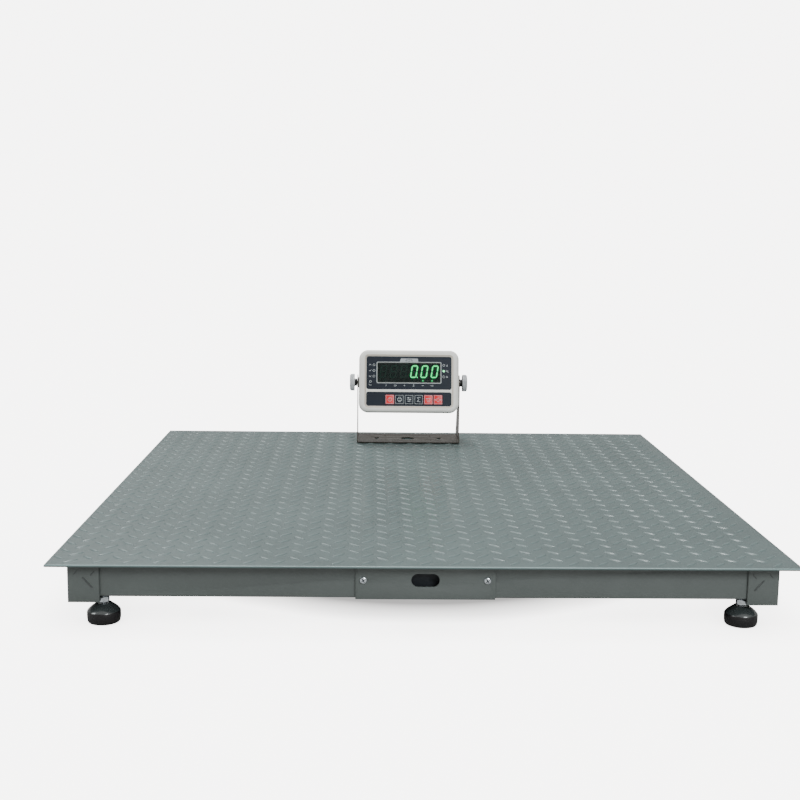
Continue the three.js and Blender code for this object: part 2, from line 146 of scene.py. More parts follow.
def span(tree, value, low, high, start=0.35, end=0.65):
    made = node_of(tree, "ShaderNodeMapRange", From_Min=start, From_Max=end, To_Min=low, To_Max=high)
    link(tree, (value, made.inputs["Value"]))
    return made.outputs["Result"]


def mix(tree, amount, first, second):
    made = tree.nodes.new("ShaderNodeMix")
    made.data_type = "RGBA"
    link(tree, (amount, made.inputs["Factor"]))
    for socket, value in (("A", first), ("B", second)):
        place = next(s for s in made.inputs if s.name == socket and s.type == "RGBA")
        if isinstance(value, tuple):
            place.default_value = (*value, 1)
        else:
            link(tree, (value, place))
    return next(s for s in made.outputs if s.type == "RGBA")


def blank(name, roughness, metallic=0.0, **settings):
    material = bpy.data.materials.new(name)
    material.use_nodes = True
    shader = material.node_tree.nodes["Principled BSDF"]
    for socket, value in {"Roughness": roughness, "Metallic": metallic, **settings}.items():
        shader.inputs[socket.replace("_", " ")].default_value = value
    return material, material.node_tree, shader


def dress(tree, shader, base, roughness=None, layers=()):
    """Links a colour, a roughness, and bump layers of (height socket, distance) to a shader."""
    link(tree, (base, shader.inputs["Base Color"]))
    if roughness:
        link(tree, (roughness, shader.inputs["Roughness"]))
    before = None
    for height, distance in layers:
        made = node_of(tree, "ShaderNodeBump", Strength=1.0, Distance=distance)
        link(tree, (height, made.inputs["Height"]))
        if before:
            link(tree, (before, made.inputs["Normal"]))
        before = made.outputs["Normal"]
    if before:
        link(tree, (before, shader.inputs["Normal"]))


def painted_steel(name, colour, wear_and_highlight_above=None):
    """Satin paint with orange peel, dirt and small scuffs; what stands above a height is lighter, as worn
    paint and as a painted highlight.
    """
    material, tree, shader = blank(name, 0.42, Coat_Weight=0.3, Coat_Roughness=0.2)
    base = ramp(tree, noise(tree, 6, 4), tones(colour, 0.9, 1.1))
    fleck = span(tree, noise(tree, 900, 1), 0.0, 0.35, 0.5, 0.8)
    scuff = span(tree, noise(tree, 45, 6, (1, 0.25, 1), 0.7), 0.0, 0.5, 0.66, 0.78)
    for amount, factor in ((fleck, 1.35), (scuff, 0.62)):
        base = mix(tree, amount, base, shade(colour, factor))
    if wear_and_highlight_above is not None:
        where = tree.nodes.new("ShaderNodeTexCoord")
        split = tree.nodes.new("ShaderNodeSeparateXYZ")
        link(tree, (where.outputs["Object"], split.inputs["Vector"]))
        # what stands above the height is painted lighter: partly worn paint, partly a painted highlight for
        # the glints on the tread
        high = span(tree, split.outputs["Z"], 0.0, 0.6, wear_and_highlight_above, wear_and_highlight_above + 1.3 * MM)
        base = mix(tree, high, base, shade(colour, 1.45))
    dress(tree, shader, base, span(tree, noise(tree, 30, 3), 0.36, 0.55),
          [(noise(tree, 1400, 1), 0.04 * MM), (noise(tree, 160, 3), 0.1 * MM)])
    return material


def brushed_metal(name, colour, roughness, along):
    """Metal with fine grinding lines along one axis, and faint smudges."""
    material, tree, shader = blank(name, roughness, 1.0)
    lines = noise(tree, 30, 4, [1.0 if axis == along else 60.0 for axis in "XYZ"], 0.6)
    base = mix(tree, span(tree, noise(tree, 9, 4), 0.0, 0.45), ramp(tree, lines, tones(colour, 0.82, 1.15)),
               shade(colour, 0.7))
    dress(tree, shader, base, span(tree, lines, roughness - 0.08, roughness + 0.1), [(lines, 0.04 * MM)])
    return material


def surface(name, roughness, metallic, cloud, stops, marks=None, grain=None, **settings):
    """A material with one noise each behind its colour, its roughness and its bump.

    cloud is the colour's noise, marks are (noise, least and most added to the roughness), and grain is
    (noise, depth).
    """
    material, tree, shader = blank(name, roughness, metallic, **settings)
    rough = span(tree, noise(tree, *marks[0]), roughness + marks[1], roughness + marks[2]) if marks else None
    layers = [(noise(tree, *grain[0]), grain[1])] if grain else ()
    dress(tree, shader, ramp(tree, noise(tree, *cloud), stops), rough, layers)
    return material


def plated_metal(name, colour, roughness):
    stops = [(0.35, shade(colour, 0.8)), (0.6, colour), (0.8, shade(colour, 1.1))]
    return surface(name, roughness, 1.0, (120, 4), stops, ((60, 3), -0.07, 0.14), ((700, 2), 0.03 * MM))


def moulded(name, colour, roughness, grain=900, depth=0.03 * MM, **settings):
    """Plastic or rubber with a fine moulded texture and slight handling marks."""
    return surface(name, roughness, 0.0, (14, 4), tones(colour, 0.93, 1.06), ((40, 5), -0.05, 0.12),
                   ((grain, 2), depth), **settings)


def glowing(name, colour, emitted, strength):
    return surface(name, 0.35, 0.0, (300, 2), tones(colour, 0.9, 1.0), Emission_Color=(*emitted, 1),
                   Emission_Strength=strength)


TRACKS = (160, 2, (1, 1, 0.1))
DECK_PAINT = (0.084, 0.118, 0.117)
# the frame's paint is the deck's paint made darker: painted shade for the skirt and the other frame faces,
# which get less light than the deck
SHADED_FRAME_PAINT = (0.087, 0.100, 0.096)
IVORY_GRAIN, SHEET_GRAIN, PRINT_GRAIN = (1500, 0.03 * MM), (2600, 0.01 * MM), (2000, 0.005 * MM)
LOOKS = {
    # the deck's raised pattern is lighter on top: worn paint and a painted highlight
    "deck": painted_steel("deck_paint_look", DECK_PAINT, wear_and_highlight_above=DECK_TOP + 0.3 * MM),
    # the deck's rounded top edge, 2.4 times as light as the deck paint: mostly a painted highlight where the
    # edge catches the light, partly worn paint
    "edge": painted_steel("worn_edge_highlight_look", shade(DECK_PAINT, 2.4)),
    "frame": painted_steel("shaded_frame_paint_look", SHADED_FRAME_PAINT),
    # dark marks on the corner plates, and the dark seam beads, whose darkness is partly painted shade
    "mark": painted_steel("weld_mark_and_seam_shade_look", shade(SHADED_FRAME_PAINT, 0.6)),
    "zinc": plated_metal("zinc_look", (0.8, 0.85, 0.9), 0.26),
    "cell": plated_metal("nickel_look", (0.55, 0.56, 0.55), 0.34),
    "bracket": brushed_metal("stainless_look", (0.115, 0.102, 0.09), 0.34, "X"),
    "gloss_black": moulded("foot_dome_look", (0.03, 0.036, 0.037), 0.22, 60, 0.01 * MM, Coat_Weight=1.0),
    "rubber": moulded("rubber_look", (0.008, 0.007, 0.008), 0.36, 700, 0.04 * MM),
    "ivory": moulded("ivory_look", (0.95, 0.925, 0.875), 0.42, *IVORY_GRAIN),
    # the sunk fields' sloping walls: the ivory made darker and browner, painted shade in the recess
    "ivory_slope": moulded("ivory_slope_look", (0.72, 0.64, 0.55), 0.4, *IVORY_GRAIN),
    "panel": moulded("panel_look", (0.014, 0.019, 0.03), 0.36, *SHEET_GRAIN, Specular_IOR_Level=0.2),
    "red_key": moulded("red_key_look", (0.85, 0.018, 0.028), 0.35, *SHEET_GRAIN),
    "dark_key": moulded("dark_key_look", (0.012, 0.017, 0.028), 0.36, *SHEET_GRAIN, Specular_IOR_Level=0.2),
    "print": moulded("light_print_look", (0.62, 0.66, 0.68), 0.5, *PRINT_GRAIN),
    "tab": moulded("tab_look", (0.42, 0.45, 0.48), 0.45, *PRINT_GRAIN),
    "ink": moulded("dark_print_and_shade_look", (0.02, 0.024, 0.03), 0.5, *PRINT_GRAIN),
    "knob": moulded("knob_look", (0.5, 0.51, 0.53), 0.38, 1200),
    "black": moulded("black_plastic_look", (0.015, 0.015, 0.016), 0.4),
    "cable": moulded("cable_look", (0.03, 0.031, 0.034), 0.5, 900, 0.04 * MM),
    "box": moulded("junction_look", (0.2, 0.21, 0.215), 0.5, 900, 0.04 * MM),
    "board": surface("circuit_board", 0.4, 0.0, TRACKS,
                     [(0.45, (0.012, 0.09, 0.035)), (0.55, (0.02, 0.16, 0.06))], None, (TRACKS, 0.05 * MM),
                     Coat_Weight=0.3),
    "pane": surface("smoked_pane", 0.08, 0.0, (20, 2),
                    [(0.3, (0.004, 0.012, 0.01)), (0.7, (0.008, 0.02, 0.016))],
                    None, ((60, 2), 0.02 * MM), Alpha=0.32, IOR=1.49),
    "lit": glowing("lit_segment_look", (0.1, 0.8, 0.3), (0.03, 1.0, 0.26), 3.4),
    # segments that are off still emit a faint green glow: painted light
    "unlit": glowing("unlit_segment_faint_glow_look", (0.012, 0.05, 0.035), (0.01, 0.1, 0.06), 0.12),
    "halo": glowing("halo_look", (0.004, 0.03, 0.012), (0.0, 0.5, 0.09), 0.3),
    "well": moulded("digit_well_look", (0.003, 0.008, 0.007), 0.5, 600),
}


# ---------------------------------------------------------------- mesh helpers
def in_mm(pairs):
    """Pairs of millimetres as pairs of metres."""
    return [(a * MM, b * MM) for a, b in pairs]


def steps_between(start, end, steps):
    return [start + (end - start) * k / steps for k in range(steps + 1)]


def in_scene(name, data):
    made = bpy.data.objects.new(name, data)
    bpy.context.collection.objects.link(made)
    return made


def smooth_object(name, bm, materials):
    mesh = bpy.data.meshes.new(name)
    bm.to_mesh(mesh)
    bm.free()
    for material in materials:
        mesh.materials.append(material)
    mesh.polygons.foreach_set("use_smooth", [True] * len(mesh.polygons))
    return in_scene(name, mesh)


def finished(name, bm, looks, body, slot, stands_for=(), smooth=35):
    """Makes an object, shades it, hangs it on its body, and hides the CAD nodes it stands for."""
    bmesh.ops.recalc_face_normals(bm, faces=bm.faces)
    made = smooth_object(name, bm, [LOOKS[look] for look in listed(looks)])
    made.data.set_sharp_from_angle(angle=math.radians(smooth))
    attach(made, body)
    for node in stands_for:
        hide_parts(node)
    return made


def skin(bm, rings, look_of=0, capped=False):
    """Walls between closed rings of vertices, where one vertex is a tip. look_of is a look or a look(n)."""
    for n, (first, second) in enumerate(zip(rings, rings[1:])):
        look = look_of(n) if callable(look_of) else look_of
        for k in range(max(len(first), len(second))):
            around = (first, k), (first, k + 1), (second, k + 1), (second, k)
            corners = list(dict.fromkeys(ring[i % len(ring)] for ring, i in around))
            if len(corners) > 2:
                bm.faces.new(corners).material_index = look
    for ring in (rings[0], rings[-1]) if capped else ():
        bm.faces.new(ring).material_index = look


def prism(bm, low, top, look=0):
    """A closed solid between two matching loops of points."""
    skin(bm, [[bm.verts.new(p) for p in points] for points in (low, top)], look, capped=True)


def plate(bm, outline, depths, look=0):
    """A flat solid with an outline on the indicator's face, between two depths."""
    prism(bm, *[[in_casing(x, z, depth) for x, z in outline] for depth in depths], look=look)


def polar_ring(bm, matrix, radii, height):
    """A ring of vertices about the local Z axis, one for each radius."""
    turn = 2 * math.pi / len(radii)
    return [bm.verts.new(matrix @ Vector((r * math.cos(k * turn), r * math.sin(k * turn), height)))
            for k, r in enumerate(radii)]


def oval(width, height, start, end, steps):
    """Points of an oval between two angles in degrees."""
    return [(width * math.cos(math.radians(a)), height * math.sin(math.radians(a)))
            for a in steps_between(start, end, steps)]


def rounded_rectangle(width, height, radius, centre=(0, 0), steps=8):
    """Corner points, counterclockwise."""
    points = []
    for i, (sx, sy) in enumerate([(1, 1), (-1, 1), (-1, -1), (1, -1)]):
        middle = Vector((centre[0] + sx * (width / 2 - radius), centre[1] + sy * (height / 2 - radius)))
        points += [middle + radius * Vector((math.cos(a), math.sin(a)))
                   for a in steps_between(QUARTER_TURN * i, QUARTER_TURN * (i + 1), steps)]
    return points


def outline_of(names, corner, more=0.0, steps=8):
    """A rounded rectangle on the indicator's face, as large as a node or larger by more."""
    middle, size = middle_and_size(names)
    return rounded_rectangle(size.x + more, size.z + more, corner, (middle.x, middle.z), steps)


class Shell:
    """Rings of points joined by walls and caps. place(x, y, depth) puts a ring's point in the row frame."""

    def __init__(self, place):
        self.bm = bmesh.new()
        self.place = place

    def ring(self, points, depth):
        return [self.bm.verts.new(self.place(p[0], p[1], depth)) for p in points]

    def cap(self, outer, holes=(), look=0):
        rings = [outer, *holes]
        flat = [v for ring in rings for v in ring]
        for triangle in tessellate_polygon([[v.co for v in ring] for ring in rings]):
            self.bm.faces.new([flat[i] for i in triangle]).material_index = look

    def tube(self, rings, look=0):
        skin(self.bm, rings, look)


def slab(name, outline, front, back, look, slot, edge=0.0, holes=(), stands_for=()):
    """A flat piece of the casing between two depths, its front edge rounded by insetting."""
    shell = Shell(in_casing)
    middle = sum(outline, Vector((0, 0))) / len(outline)
    size = max((p - middle).length for p in outline)
    inset = [middle + (p - middle) * (1 - edge / size) for p in outline]
    rings = [shell.ring(inset, front), shell.ring(outline, front + edge), shell.ring(outline, back)]
    shell.tube(rings)
    fronts = [shell.ring(hole, front) for hole in holes]
    backs = [shell.ring(hole, back) for hole in holes]
    for pair in zip(fronts, backs):
        shell.tube(pair)
    shell.cap(rings[0], fronts)
    shell.cap(rings[-1], backs)
    finished(name, shell.bm, look, "casing", slot, stands_for)


def lathe(bm, profile, matrix, steps=48, flutes=0, flute_depth=0.0, fluted=(), look_of=0):
    """Turns [radius, height] pairs about the local Z axis. The rings named in fluted get flutes."""
    rings = []
    for n, (radius, height) in enumerate(profile):
        radii = [radius] * (steps if radius > 1e-7 else 1)
        if n in fluted:
            wave = [0.5 - 0.5 * math.cos(flutes * 2 * math.pi * k / steps) for k in range(steps)]
            radii = [radius - flute_depth * w for w in wave]
        rings.append(polar_ring(bm, matrix, radii, height))
    skin(bm, rings, look_of)


def upright(x, y, z=0.0):
    return Matrix.Translation((x, y, z))


def along_x(side, x):
    """A frame at x on the casing's tilt axis, its Z axis pointing along +X or -X."""
    return CASING @ upright(x, 0) @ rotation(side * QUARTER_TURN, "Y")


def facing_front(x, z, depth):
    """A frame on the casing's face at a depth, its Z axis pointing forward."""
    return Matrix.Translation(in_casing(x, z, depth)) @ CASING.to_3x3().to_4x4() @ rotation(QUARTER_TURN, "X")


def facing_back(x, z):
    """A frame on the casing's back, its Z axis pointing backward."""
    return CASING @ upright(x, BACK.y, z) @ rotation(-QUARTER_TURN, "X")


def hex_piece(bm, across_flats, low, high, bore, matrix, steps=72):
    """A hexagon with its corners chamfered at both ends, and a bore."""
    sixth = math.pi / 3
    within = [(2 * math.pi * k / steps + sixth / 2) % sixth - sixth / 2 for k in range(steps)]
    corners = [across_flats / 2 / math.cos(angle) for angle in within]
    rise = [0, 0.35 * MM, 0.8 * MM, 1.4 * MM]
    rings = []
    for z in [low + r for r in rise] + [high - r for r in reversed(rise)]:
        limit = across_flats / 2 * 0.97 + 1.9 * min(z - low, high - z)
        rings.append(polar_ring(bm, matrix, [min(r, limit) for r in corners], z))
    rings += [polar_ring(bm, matrix, [bore] * steps, z) for z in (high, low)]
    skin(bm, rings + rings[:1])


def threaded_rod(bm, radius, low, high, pitch, matrix, steps=24, per_turn=6):
    """A rod with a helical thread, closed at both ends."""
    depth = 0.61 * pitch
    rings = []
    for z in steps_between(low, high, int(round((high - low) / pitch * per_turn))):
        taper = min(1.0, (z - low) / pitch, (high - z) / pitch)
        crests = [1 - abs(2 * ((z / pitch - k / steps) % 1.0) - 1) for k in range(steps)]
        radii = [radius - depth * (1 - min(1.0, 1.25 * crest) * taper) for crest in crests]
        rings.append(polar_ring(bm, matrix, radii, z))
    skin(bm, rings, capped=True)


def copy_of(node):
    bm = bmesh.new()
    bm.from_mesh(nodes[node].data)
    bmesh.ops.remove_doubles(bm, verts=bm.verts, dist=1e-6)
    return bm


def refined(node, look, body, slot, edge, segments=2, wide=None, wide_edge=0.0):
    """A copy of a CAD node with its sharp edges rounded; wide(edge) picks those with a larger radius."""
    bm = copy_of(node)
    bmesh.ops.dissolve_limit(bm, angle_limit=math.radians(0.5), verts=bm.verts, edges=bm.edges)

    def rounded(edges, offset, count):
        return bmesh.ops.bevel(bm, geom=edges, offset=offset, segments=count, profile=0.5, affect="EDGES",
                               clamp_overlap=True)["edges"]

    def sharp(done=()):
        return [e for e in bm.edges if len(e.link_faces) == 2 and e not in done
                and e.calc_face_angle() > math.radians(40)]

    done = set(rounded([e for e in sharp() if wide(e)], wide_edge, 6)) if wide else ()
    rounded(sharp(done), edge, segments)
    return finished(node + "_piece", bm, look, body, slot, [node])


def rounded_cable(node, look, body, slot):
    """A copy of a CAD cable whose six flat sides become a round one."""
    bm = copy_of(node)
    bmesh.ops.join_triangles(bm, faces=bm.faces, angle_face_threshold=math.radians(20),
                             angle_shape_threshold=math.radians(180))
    made = finished(node + "_piece", bm, look, body, slot, [node], smooth=70)
    rounding = made.modifiers.new("round", "SUBSURF")
    rounding.levels = rounding.render_levels = 1


# ---------------------------------------------------------------- platform
# frame pieces take the darker frame paint, whose darkness is painted shade
FRAME_STEEL = ("frame", "platform", "frame_paint")
TREAD = {"pitch": 47.06 * MM, "row": 42.3 * MM, "first": 0.28, "margin": 11 * MM, "length": 29 * MM,
         "width": 9 * MM, "height": 1.8 * MM, "sunk": 0.2 * MM}


def lentil(bm, x, y, slope, lengths=9, widths=6):
    """One raised tread mark: a pointed oval with a domed top, lying 45 degrees across the plate."""
    along = Vector((math.cos(slope), math.sin(slope), 0))
    across = Vector((-along.y, along.x, 0))
    sunk = Vector((0, 0, -TREAD["sunk"]))
    rows = []
    for i in range(lengths + 1):
        t = -math.cos(math.pi * i / lengths)
        centre = Vector((x, y, DECK_TOP)) + along * (t * TREAD["length"] / 2)
        if i in (0, lengths):
            rows.append([bm.verts.new(centre + sunk)])
            continue
        wide = TREAD["width"] / 2 * (1 - t * t) ** 0.8
        high = TREAD["height"] * (1 - t * t) ** 0.6
        row = []
        for u in steps_between(-1, 1, widths):
            height = Vector((0, 0, high * (1 - u * u) ** 1.3)) if abs(u) < 1 else sunk
            row.append(bm.verts.new(centre + across * (wide * u) + height))
        rows.append(row)
    skin(bm, rows)


def fillet(radius, steps=7):
    """(inset, depth) pairs that round the edge between a side wall and the face in front of it."""
    return [(radius * (1 - math.cos(a)), radius * (1 - math.sin(a)))
            for a in steps_between(0, QUARTER_TURN, steps)]


def tread_plate():
    """The deck: a plate with softened edges and its raised pattern."""
    shell = Shell(lambda x, y, z: Vector((x, y, z)))
    lower_edge, upper_edge, corner = 0.8 * MM, 1.5 * MM, 1.5 * MM
    size = DECK_HIGH - DECK_LOW
    levels = [(lower_edge, DECK_UNDER), (0, DECK_UNDER + lower_edge)]
    levels += [(inset, DECK_TOP - drop) for inset, drop in fillet(upper_edge, 4)]
    rings = [shell.ring(rounded_rectangle(size.x - 2 * inset, size.y - 2 * inset, corner, steps=3), z)
             for inset, z in levels]
    # the upper rounding takes the light edge look, a painted highlight along the deck's top edge
    shell.tube(rings, lambda n: 0 if n < 2 else 1)
    shell.cap(rings[0])
    shell.cap(rings[-1])
    for i in range(int(size.x / TREAD["pitch"]) + 1):
        for j in range(int(size.y / TREAD["row"]) + 1):
            for shift, slope in ((0, -math.pi / 4), (0.5, math.pi / 4)):
                x = DECK_LOW.x + TREAD["pitch"] * (TREAD["first"] + i + shift)
                y = DECK_LOW.y + TREAD["row"] * (1 + j - shift)
                if abs(x) < DECK_HIGH.x - TREAD["margin"] and abs(y) < DECK_HIGH.y - TREAD["margin"]:
                    lentil(shell.bm, x, y, slope)
    finished("tread_plate", shell.bm, ["deck", "edge"], "platform", "deck_paint", ["deck_plate"], smooth=60)


def weld_bead(bm, start, end, radius, ripple=2.2 * MM, sides=8):
    """A bead of weld metal between two points, rippled along its length."""
    start, end = Vector(start), Vector(end)
    along = (end - start).normalized()
    side = along.cross(Vector((0.3, 0.5, 0.8))).normalized()
    other = along.cross(side)
    length = (end - start).length
    rings = []
    for t in steps_between(0, 1, max(8, int(length / (ripple / 3)))):
        ends = math.sin(QUARTER_TURN * min(1, max(0.05, min(t, 1 - t) * length / (2 * radius))))
        r = radius * ends * (1 + 0.12 * math.sin(2 * math.pi * t * length / ripple))
        rings.append([bm.verts.new(start.lerp(end, t) + r * (math.cos(a) * side + math.sin(a) * other))
                      for a in steps_between(0, 2 * math.pi, sides)[:-1]])
    skin(bm, rings, capped=True)


def stitches(bm, place, reach, pitch, half_length):
    """Short weld beads in a row under the deck, from -reach to +reach pitches; place(s) is a point at s."""
    for k in range(-reach, reach + 1):
        weld_bead(bm, place(k * pitch - half_length), place(k * pitch + half_length), 2 * MM)


# marks on a corner plate, in mm: how far inwards and above the middle, half the run and rise, the radius
CORNER_MARKS = ((7, 1, 9, 10, 1.9), (15, 16, -4, 5, 1.1), (-12, 17, -3.5, 4, 0.8))


def welds():
    """Beads where the frame meets the deck, and the marks and seams on the corner plates."""
    bm, marks = bmesh.new(), bmesh.new()
    for name, (sx, sy) in CORNERS.items():
        low, high = corner_points("corner_plate_" + name)
        middle = (low + high) / 2
        inner = low.x if sx > 0 else high.x
        face = high.y if sy > 0 else low.y
        # a thin dark bead down the seam between the corner plate and the channel: a weld, made dark as
        # painted shade in the seam
        seam = face - sy * 1.5 * MM
        weld_bead(marks, (inner, seam, low.z + 3 * MM), (inner, seam, high.z), 0.9 * MM)
        for inwards, above, run, rise, radius in CORNER_MARKS:
            ends = [(middle.x + sx * (way * run - inwards) * MM, face - sy * 0.5 * radius * MM,
                     middle.z + (above + way * rise) * MM) for way in (1, -1)]
            weld_bead(marks, *ends, radius * MM)
    across = lambda y: lambda s: (s, y, DECK_UNDER)
    lengthwise = lambda x: lambda s: (x, s, DECK_UNDER)
    for name in ("front_channel", "rear_channel"):
        low, high = corner_points(name)
        stitches(bm, across(high.y if low.y < 0 else low.y), 4, 92 * MM, 18 * MM)
    for name in ("left_channel", "right_channel"):
        low, high = corner_points(name)
        stitches(bm, lengthwise(high.x if low.x < 0 else low.x), 5, 98 * MM, 18 * MM)
    for i in range(1, 5):
        for corner in corner_points(f"stiffener_{i}"):
            stitches(bm, lengthwise(corner.x), 4, 105 * MM, 20 * MM)
    finished("weld_beads", bm, *FRAME_STEEL)
    finished("corner_marks", marks, "mark", "platform", "frame_paint")


def screw_head(bm, matrix, radius, height):
    """A pan head seen from +Z, sitting on the local z = 0 plane; its cross recess is a near black disc and
    cross laid on the head, painted shade for the recess.
    """
    dome = [(radius * math.cos(a), 0.35 * height + 0.65 * height * math.sin(a))
            for a in steps_between(0, QUARTER_TURN, 8)]
    lathe(bm, [(0, 0), (radius, 0), *dome], matrix, 32)
    arm, pocket, bottom = 0.6 * radius, 0.27 * radius, height - 0.3 * MM
    # the disc and cross take look 1, near black: painted shade for the recess
    lathe(bm, [(0, bottom), (pocket, bottom), (pocket, height + 0.05 * MM), (0, height + 0.05 * MM)], matrix,
          20, look_of=1)
    for angle in (0, QUARTER_TURN):
        turn = matrix @ rotation(angle, "Z")
        corners = [(x * arm, y * 0.22 * arm) for x, y in ((-1, -1), (1, -1), (1, 1), (-1, 1))]
        prism(bm, *[[turn @ Vector((x, y, z)) for x, y in corners] for z in (bottom, height + 0.03 * MM)],
              look=1)


def cover_screws():
    face = corner_points("access_cover")[0].y
    for side in SIDES:
        middle, _ = middle_and_size("cover_screw_" + side, Matrix())
        matrix = upright(middle.x, face - 0.3 * MM, middle.z)
        matrix = matrix @ rotation(QUARTER_TURN, "X") @ rotation(0.6, "Z")
        bm = bmesh.new()
        screw_head(bm, matrix @ upright(0, 0, 0.1 * MM), 5.5 * MM, 3 * MM)
        lathe(bm, in_mm([(0, -10.5), (2.6, -10.5), (2.6, 0.1), (0, 0.1)]), matrix, 24)
        finished("cover_screw_piece_" + side, bm, ["zinc", "ink"], "platform", "zinc_steel",
                 ["cover_screw_" + side])


def frame_members():
    def outside_bend(edge):
        return (edge.verts[0].co - edge.verts[1].co).length > 0.5 and min(v.co.z for v in edge.verts) < 0.05

    for name in ("front_channel", "rear_channel", "left_channel", "right_channel"):
        refined(name, *FRAME_STEEL, 0.8 * MM, wide=outside_bend, wide_edge=2.2 * MM)
    for i in range(1, 5):
        refined(f"stiffener_{i}", *FRAME_STEEL, 0.7 * MM)
    for name in CORNERS:
        refined("corner_plate_" + name, *FRAME_STEEL, 0.6 * MM)
    refined("access_cover", *FRAME_STEEL, 0.5 * MM)


def inside_parts():
    """Load cells with their bolts and cables, and the junction box."""
    for name, (sx, _) in CORNERS.items():
        refined("load_cell_" + name, "cell", "platform", "cell_steel", 0.7 * MM)
        rounded_cable("cell_cable_" + name, "cable", "platform", "cable_sheath")
        low, high = corner_points("load_cell_" + name)
        root = (low.x if sx > 0 else high.x) + sx * 6 * MM
        bm = bmesh.new()
        for offset in (13 * MM, 39 * MM):
            place = upright(root + sx * offset, (low.y + high.y) / 2, low.z)
            lathe(bm, in_mm([(6.2, 0), (6.2, -2), (11.5, -2), (11.5, 0), (6.2, 0)]), place, 40)
            hex_piece(bm, 18 * MM, -9.5 * MM, -2.1 * MM, 0.5 * MM, place)
            lathe(bm, in_mm([(0, -9.4), (6, -9.4), (6, 26), (0, 26)]), place, 24)
        finished("cell_bolts_" + name, bm, "zinc", "platform", "zinc_steel")
    refined("junction_box", "box", "platform", "box_plastic", 0.8 * MM)
    # the lid takes the near black print look instead of the box's grey: painted shade where it shows through
    # the cover's slot
    refined("junction_box_lid", "ink", "platform", "box_plastic", 0.6 * MM)


# ---------------------------------------------------------------- feet
# (how far in from the rim, height) in mm, from the floor up to the dome
FOOT_BAND = ((4, 0), (2.2, 0.7), (1, 2.4), (0.3, 6), (0, 10), (0, 17.6), (0.3, 18.6))
FOOT_DOME = ((0.6, 19.4), (1.6, 20.8), (4, 23.4), (7.4, 26.4), (10.8, 28.8), (13, 30.4))


def feet():
    for name in CORNERS:
        middle, size = middle_and_size("foot_pad_" + name, Matrix())
        r, top = size.x / 2 / MM, size.z / MM
        place = upright(middle.x, middle.y)
        profile = [(0, 0)] + [(r - inwards, height) for inwards, height in FOOT_BAND + FOOT_DOME]
        profile += [(12.6, top - 0.3), (11.4, top), (7.6, top), (7, top - 0.6), (7, 20), (8.3, 12.5),
                    (6.6, 6.5), (0, 4)]
        bm = bmesh.new()
        lathe(bm, in_mm(profile), place, 72, look_of=lambda n: 1 if n <= len(FOOT_BAND) else 0)
        finished("foot_piece_" + name, bm, ["gloss_black", "rubber"], "foot_" + name, "foot_plastic",
                 ["foot_pad_" + name], smooth=50)
        bm = bmesh.new()
        ball, ball_height = 7.8, 12
        sphere = [(ball * math.sin(a), ball_height - ball * math.cos(a))
                  for a in steps_between(0, math.pi * 10 / 12, 10)]
        lathe(bm, in_mm([*sphere, (5.2, 22), (5.2, 33.6), (0, 33.6)]), place, 32)
        hex_piece(bm, 17 * MM, 33.5 * MM, 42.5 * MM, 2 * MM, place)
        threaded_rod(bm, 6 * MM, 42 * MM, corner_points("foot_stud_" + name)[1].z, 1.75 * MM, place)
        finished("stud_piece_" + name, bm, "zinc", "stud_" + name, "zinc_steel", ["foot_stud_" + name])
        nut_low, nut_high = corner_points("lock_nut_" + name)
        bm = bmesh.new()
        hex_piece(bm, 18 * MM, nut_low.z, nut_high.z, 6.4 * MM, place)
        finished("lock_nut_piece_" + name, bm, "zinc", "platform", "zinc_steel", ["lock_nut_" + name])


# ---------------------------------------------------------------- indicator casing
WIDTH, HEIGHT = FACE_HIGH.x - FACE_LOW.x, FACE_HIGH.z - FACE_LOW.z
SEAM = FACE_HIGH.y - FACE_Y
CASING_CORNER = 22 * MM
SHEET_CORNER = 5 * MM
# the wall of the sunk field: (outset, depth) in mm, from the bezel's face to the field
SUNK = 2.4
FIELD_WALL = ((4.6, 0), (3.9, 0.15), (3.2, 0.5), (0.9, SUNK - 0.25), (0.5, SUNK))
# the groove in which each sheet lies, in the same terms
SHEET_GROOVE = ((0.45, SUNK), (0.15, SUNK + 0.2), (0.15, 5))


def casing_ring(shell, width, height, corner, inset, depth):
    return shell.ring(rounded_rectangle(width - 2 * inset, height - 2 * inset, corner - inset), depth)


def front_shell():
    """The bezel: rounded outside, with two sunk fields whose walls slope in to the overlays."""
    shell = Shell(in_casing)
    wall, lip, floor_front, floor_back = 3 * MM, 3 * MM, 5 * MM, 8 * MM
    outside = lambda inset, depth: casing_ring(shell, WIDTH, HEIGHT, CASING_CORNER, inset, depth)
    outer = [outside(0, SEAM)] + [outside(*step) for step in fillet(8 * MM)]
    shell.tube(outer)
    sunk = lambda names, wall_steps: [shell.ring(outline_of(names, SHEET_CORNER + i, 2 * i), d)
                                      for i, d in in_mm(wall_steps)]
    behind = {"display_overlay": ["display_window"], "key_overlay": ["key_power", "key_zero"]}
    well = sunk(list(behind), FIELD_WALL)
    # the field walls take the darker ivory, painted shade in the recess
    shell.tube(well, look=1)
    mouths, backs = [], []
    for overlay, inner_parts in behind.items():
        rings = sunk(overlay, SHEET_GROOVE)
        shell.tube(rings)
        mouths.append(rings[0])
        hole = outline_of(inner_parts, 2 * MM, -lip, 4)
        front, back = shell.ring(hole, floor_front), shell.ring(hole, floor_back)
        shell.tube([front, back])
        shell.cap(rings[-1], [front])
        backs.append(back)
    shell.cap(well[-1], mouths)
    shell.cap(outer[-1], [well[0]])
    inner = [outside(wall, floor_back), outside(wall, SEAM)]
    shell.tube([*inner, outer[0]])
    shell.cap(inner[0], backs)
    finished("bezel", shell.bm, ["ivory", "ivory_slope"], "casing", "ivory_plastic", ["front_casing"], 30)


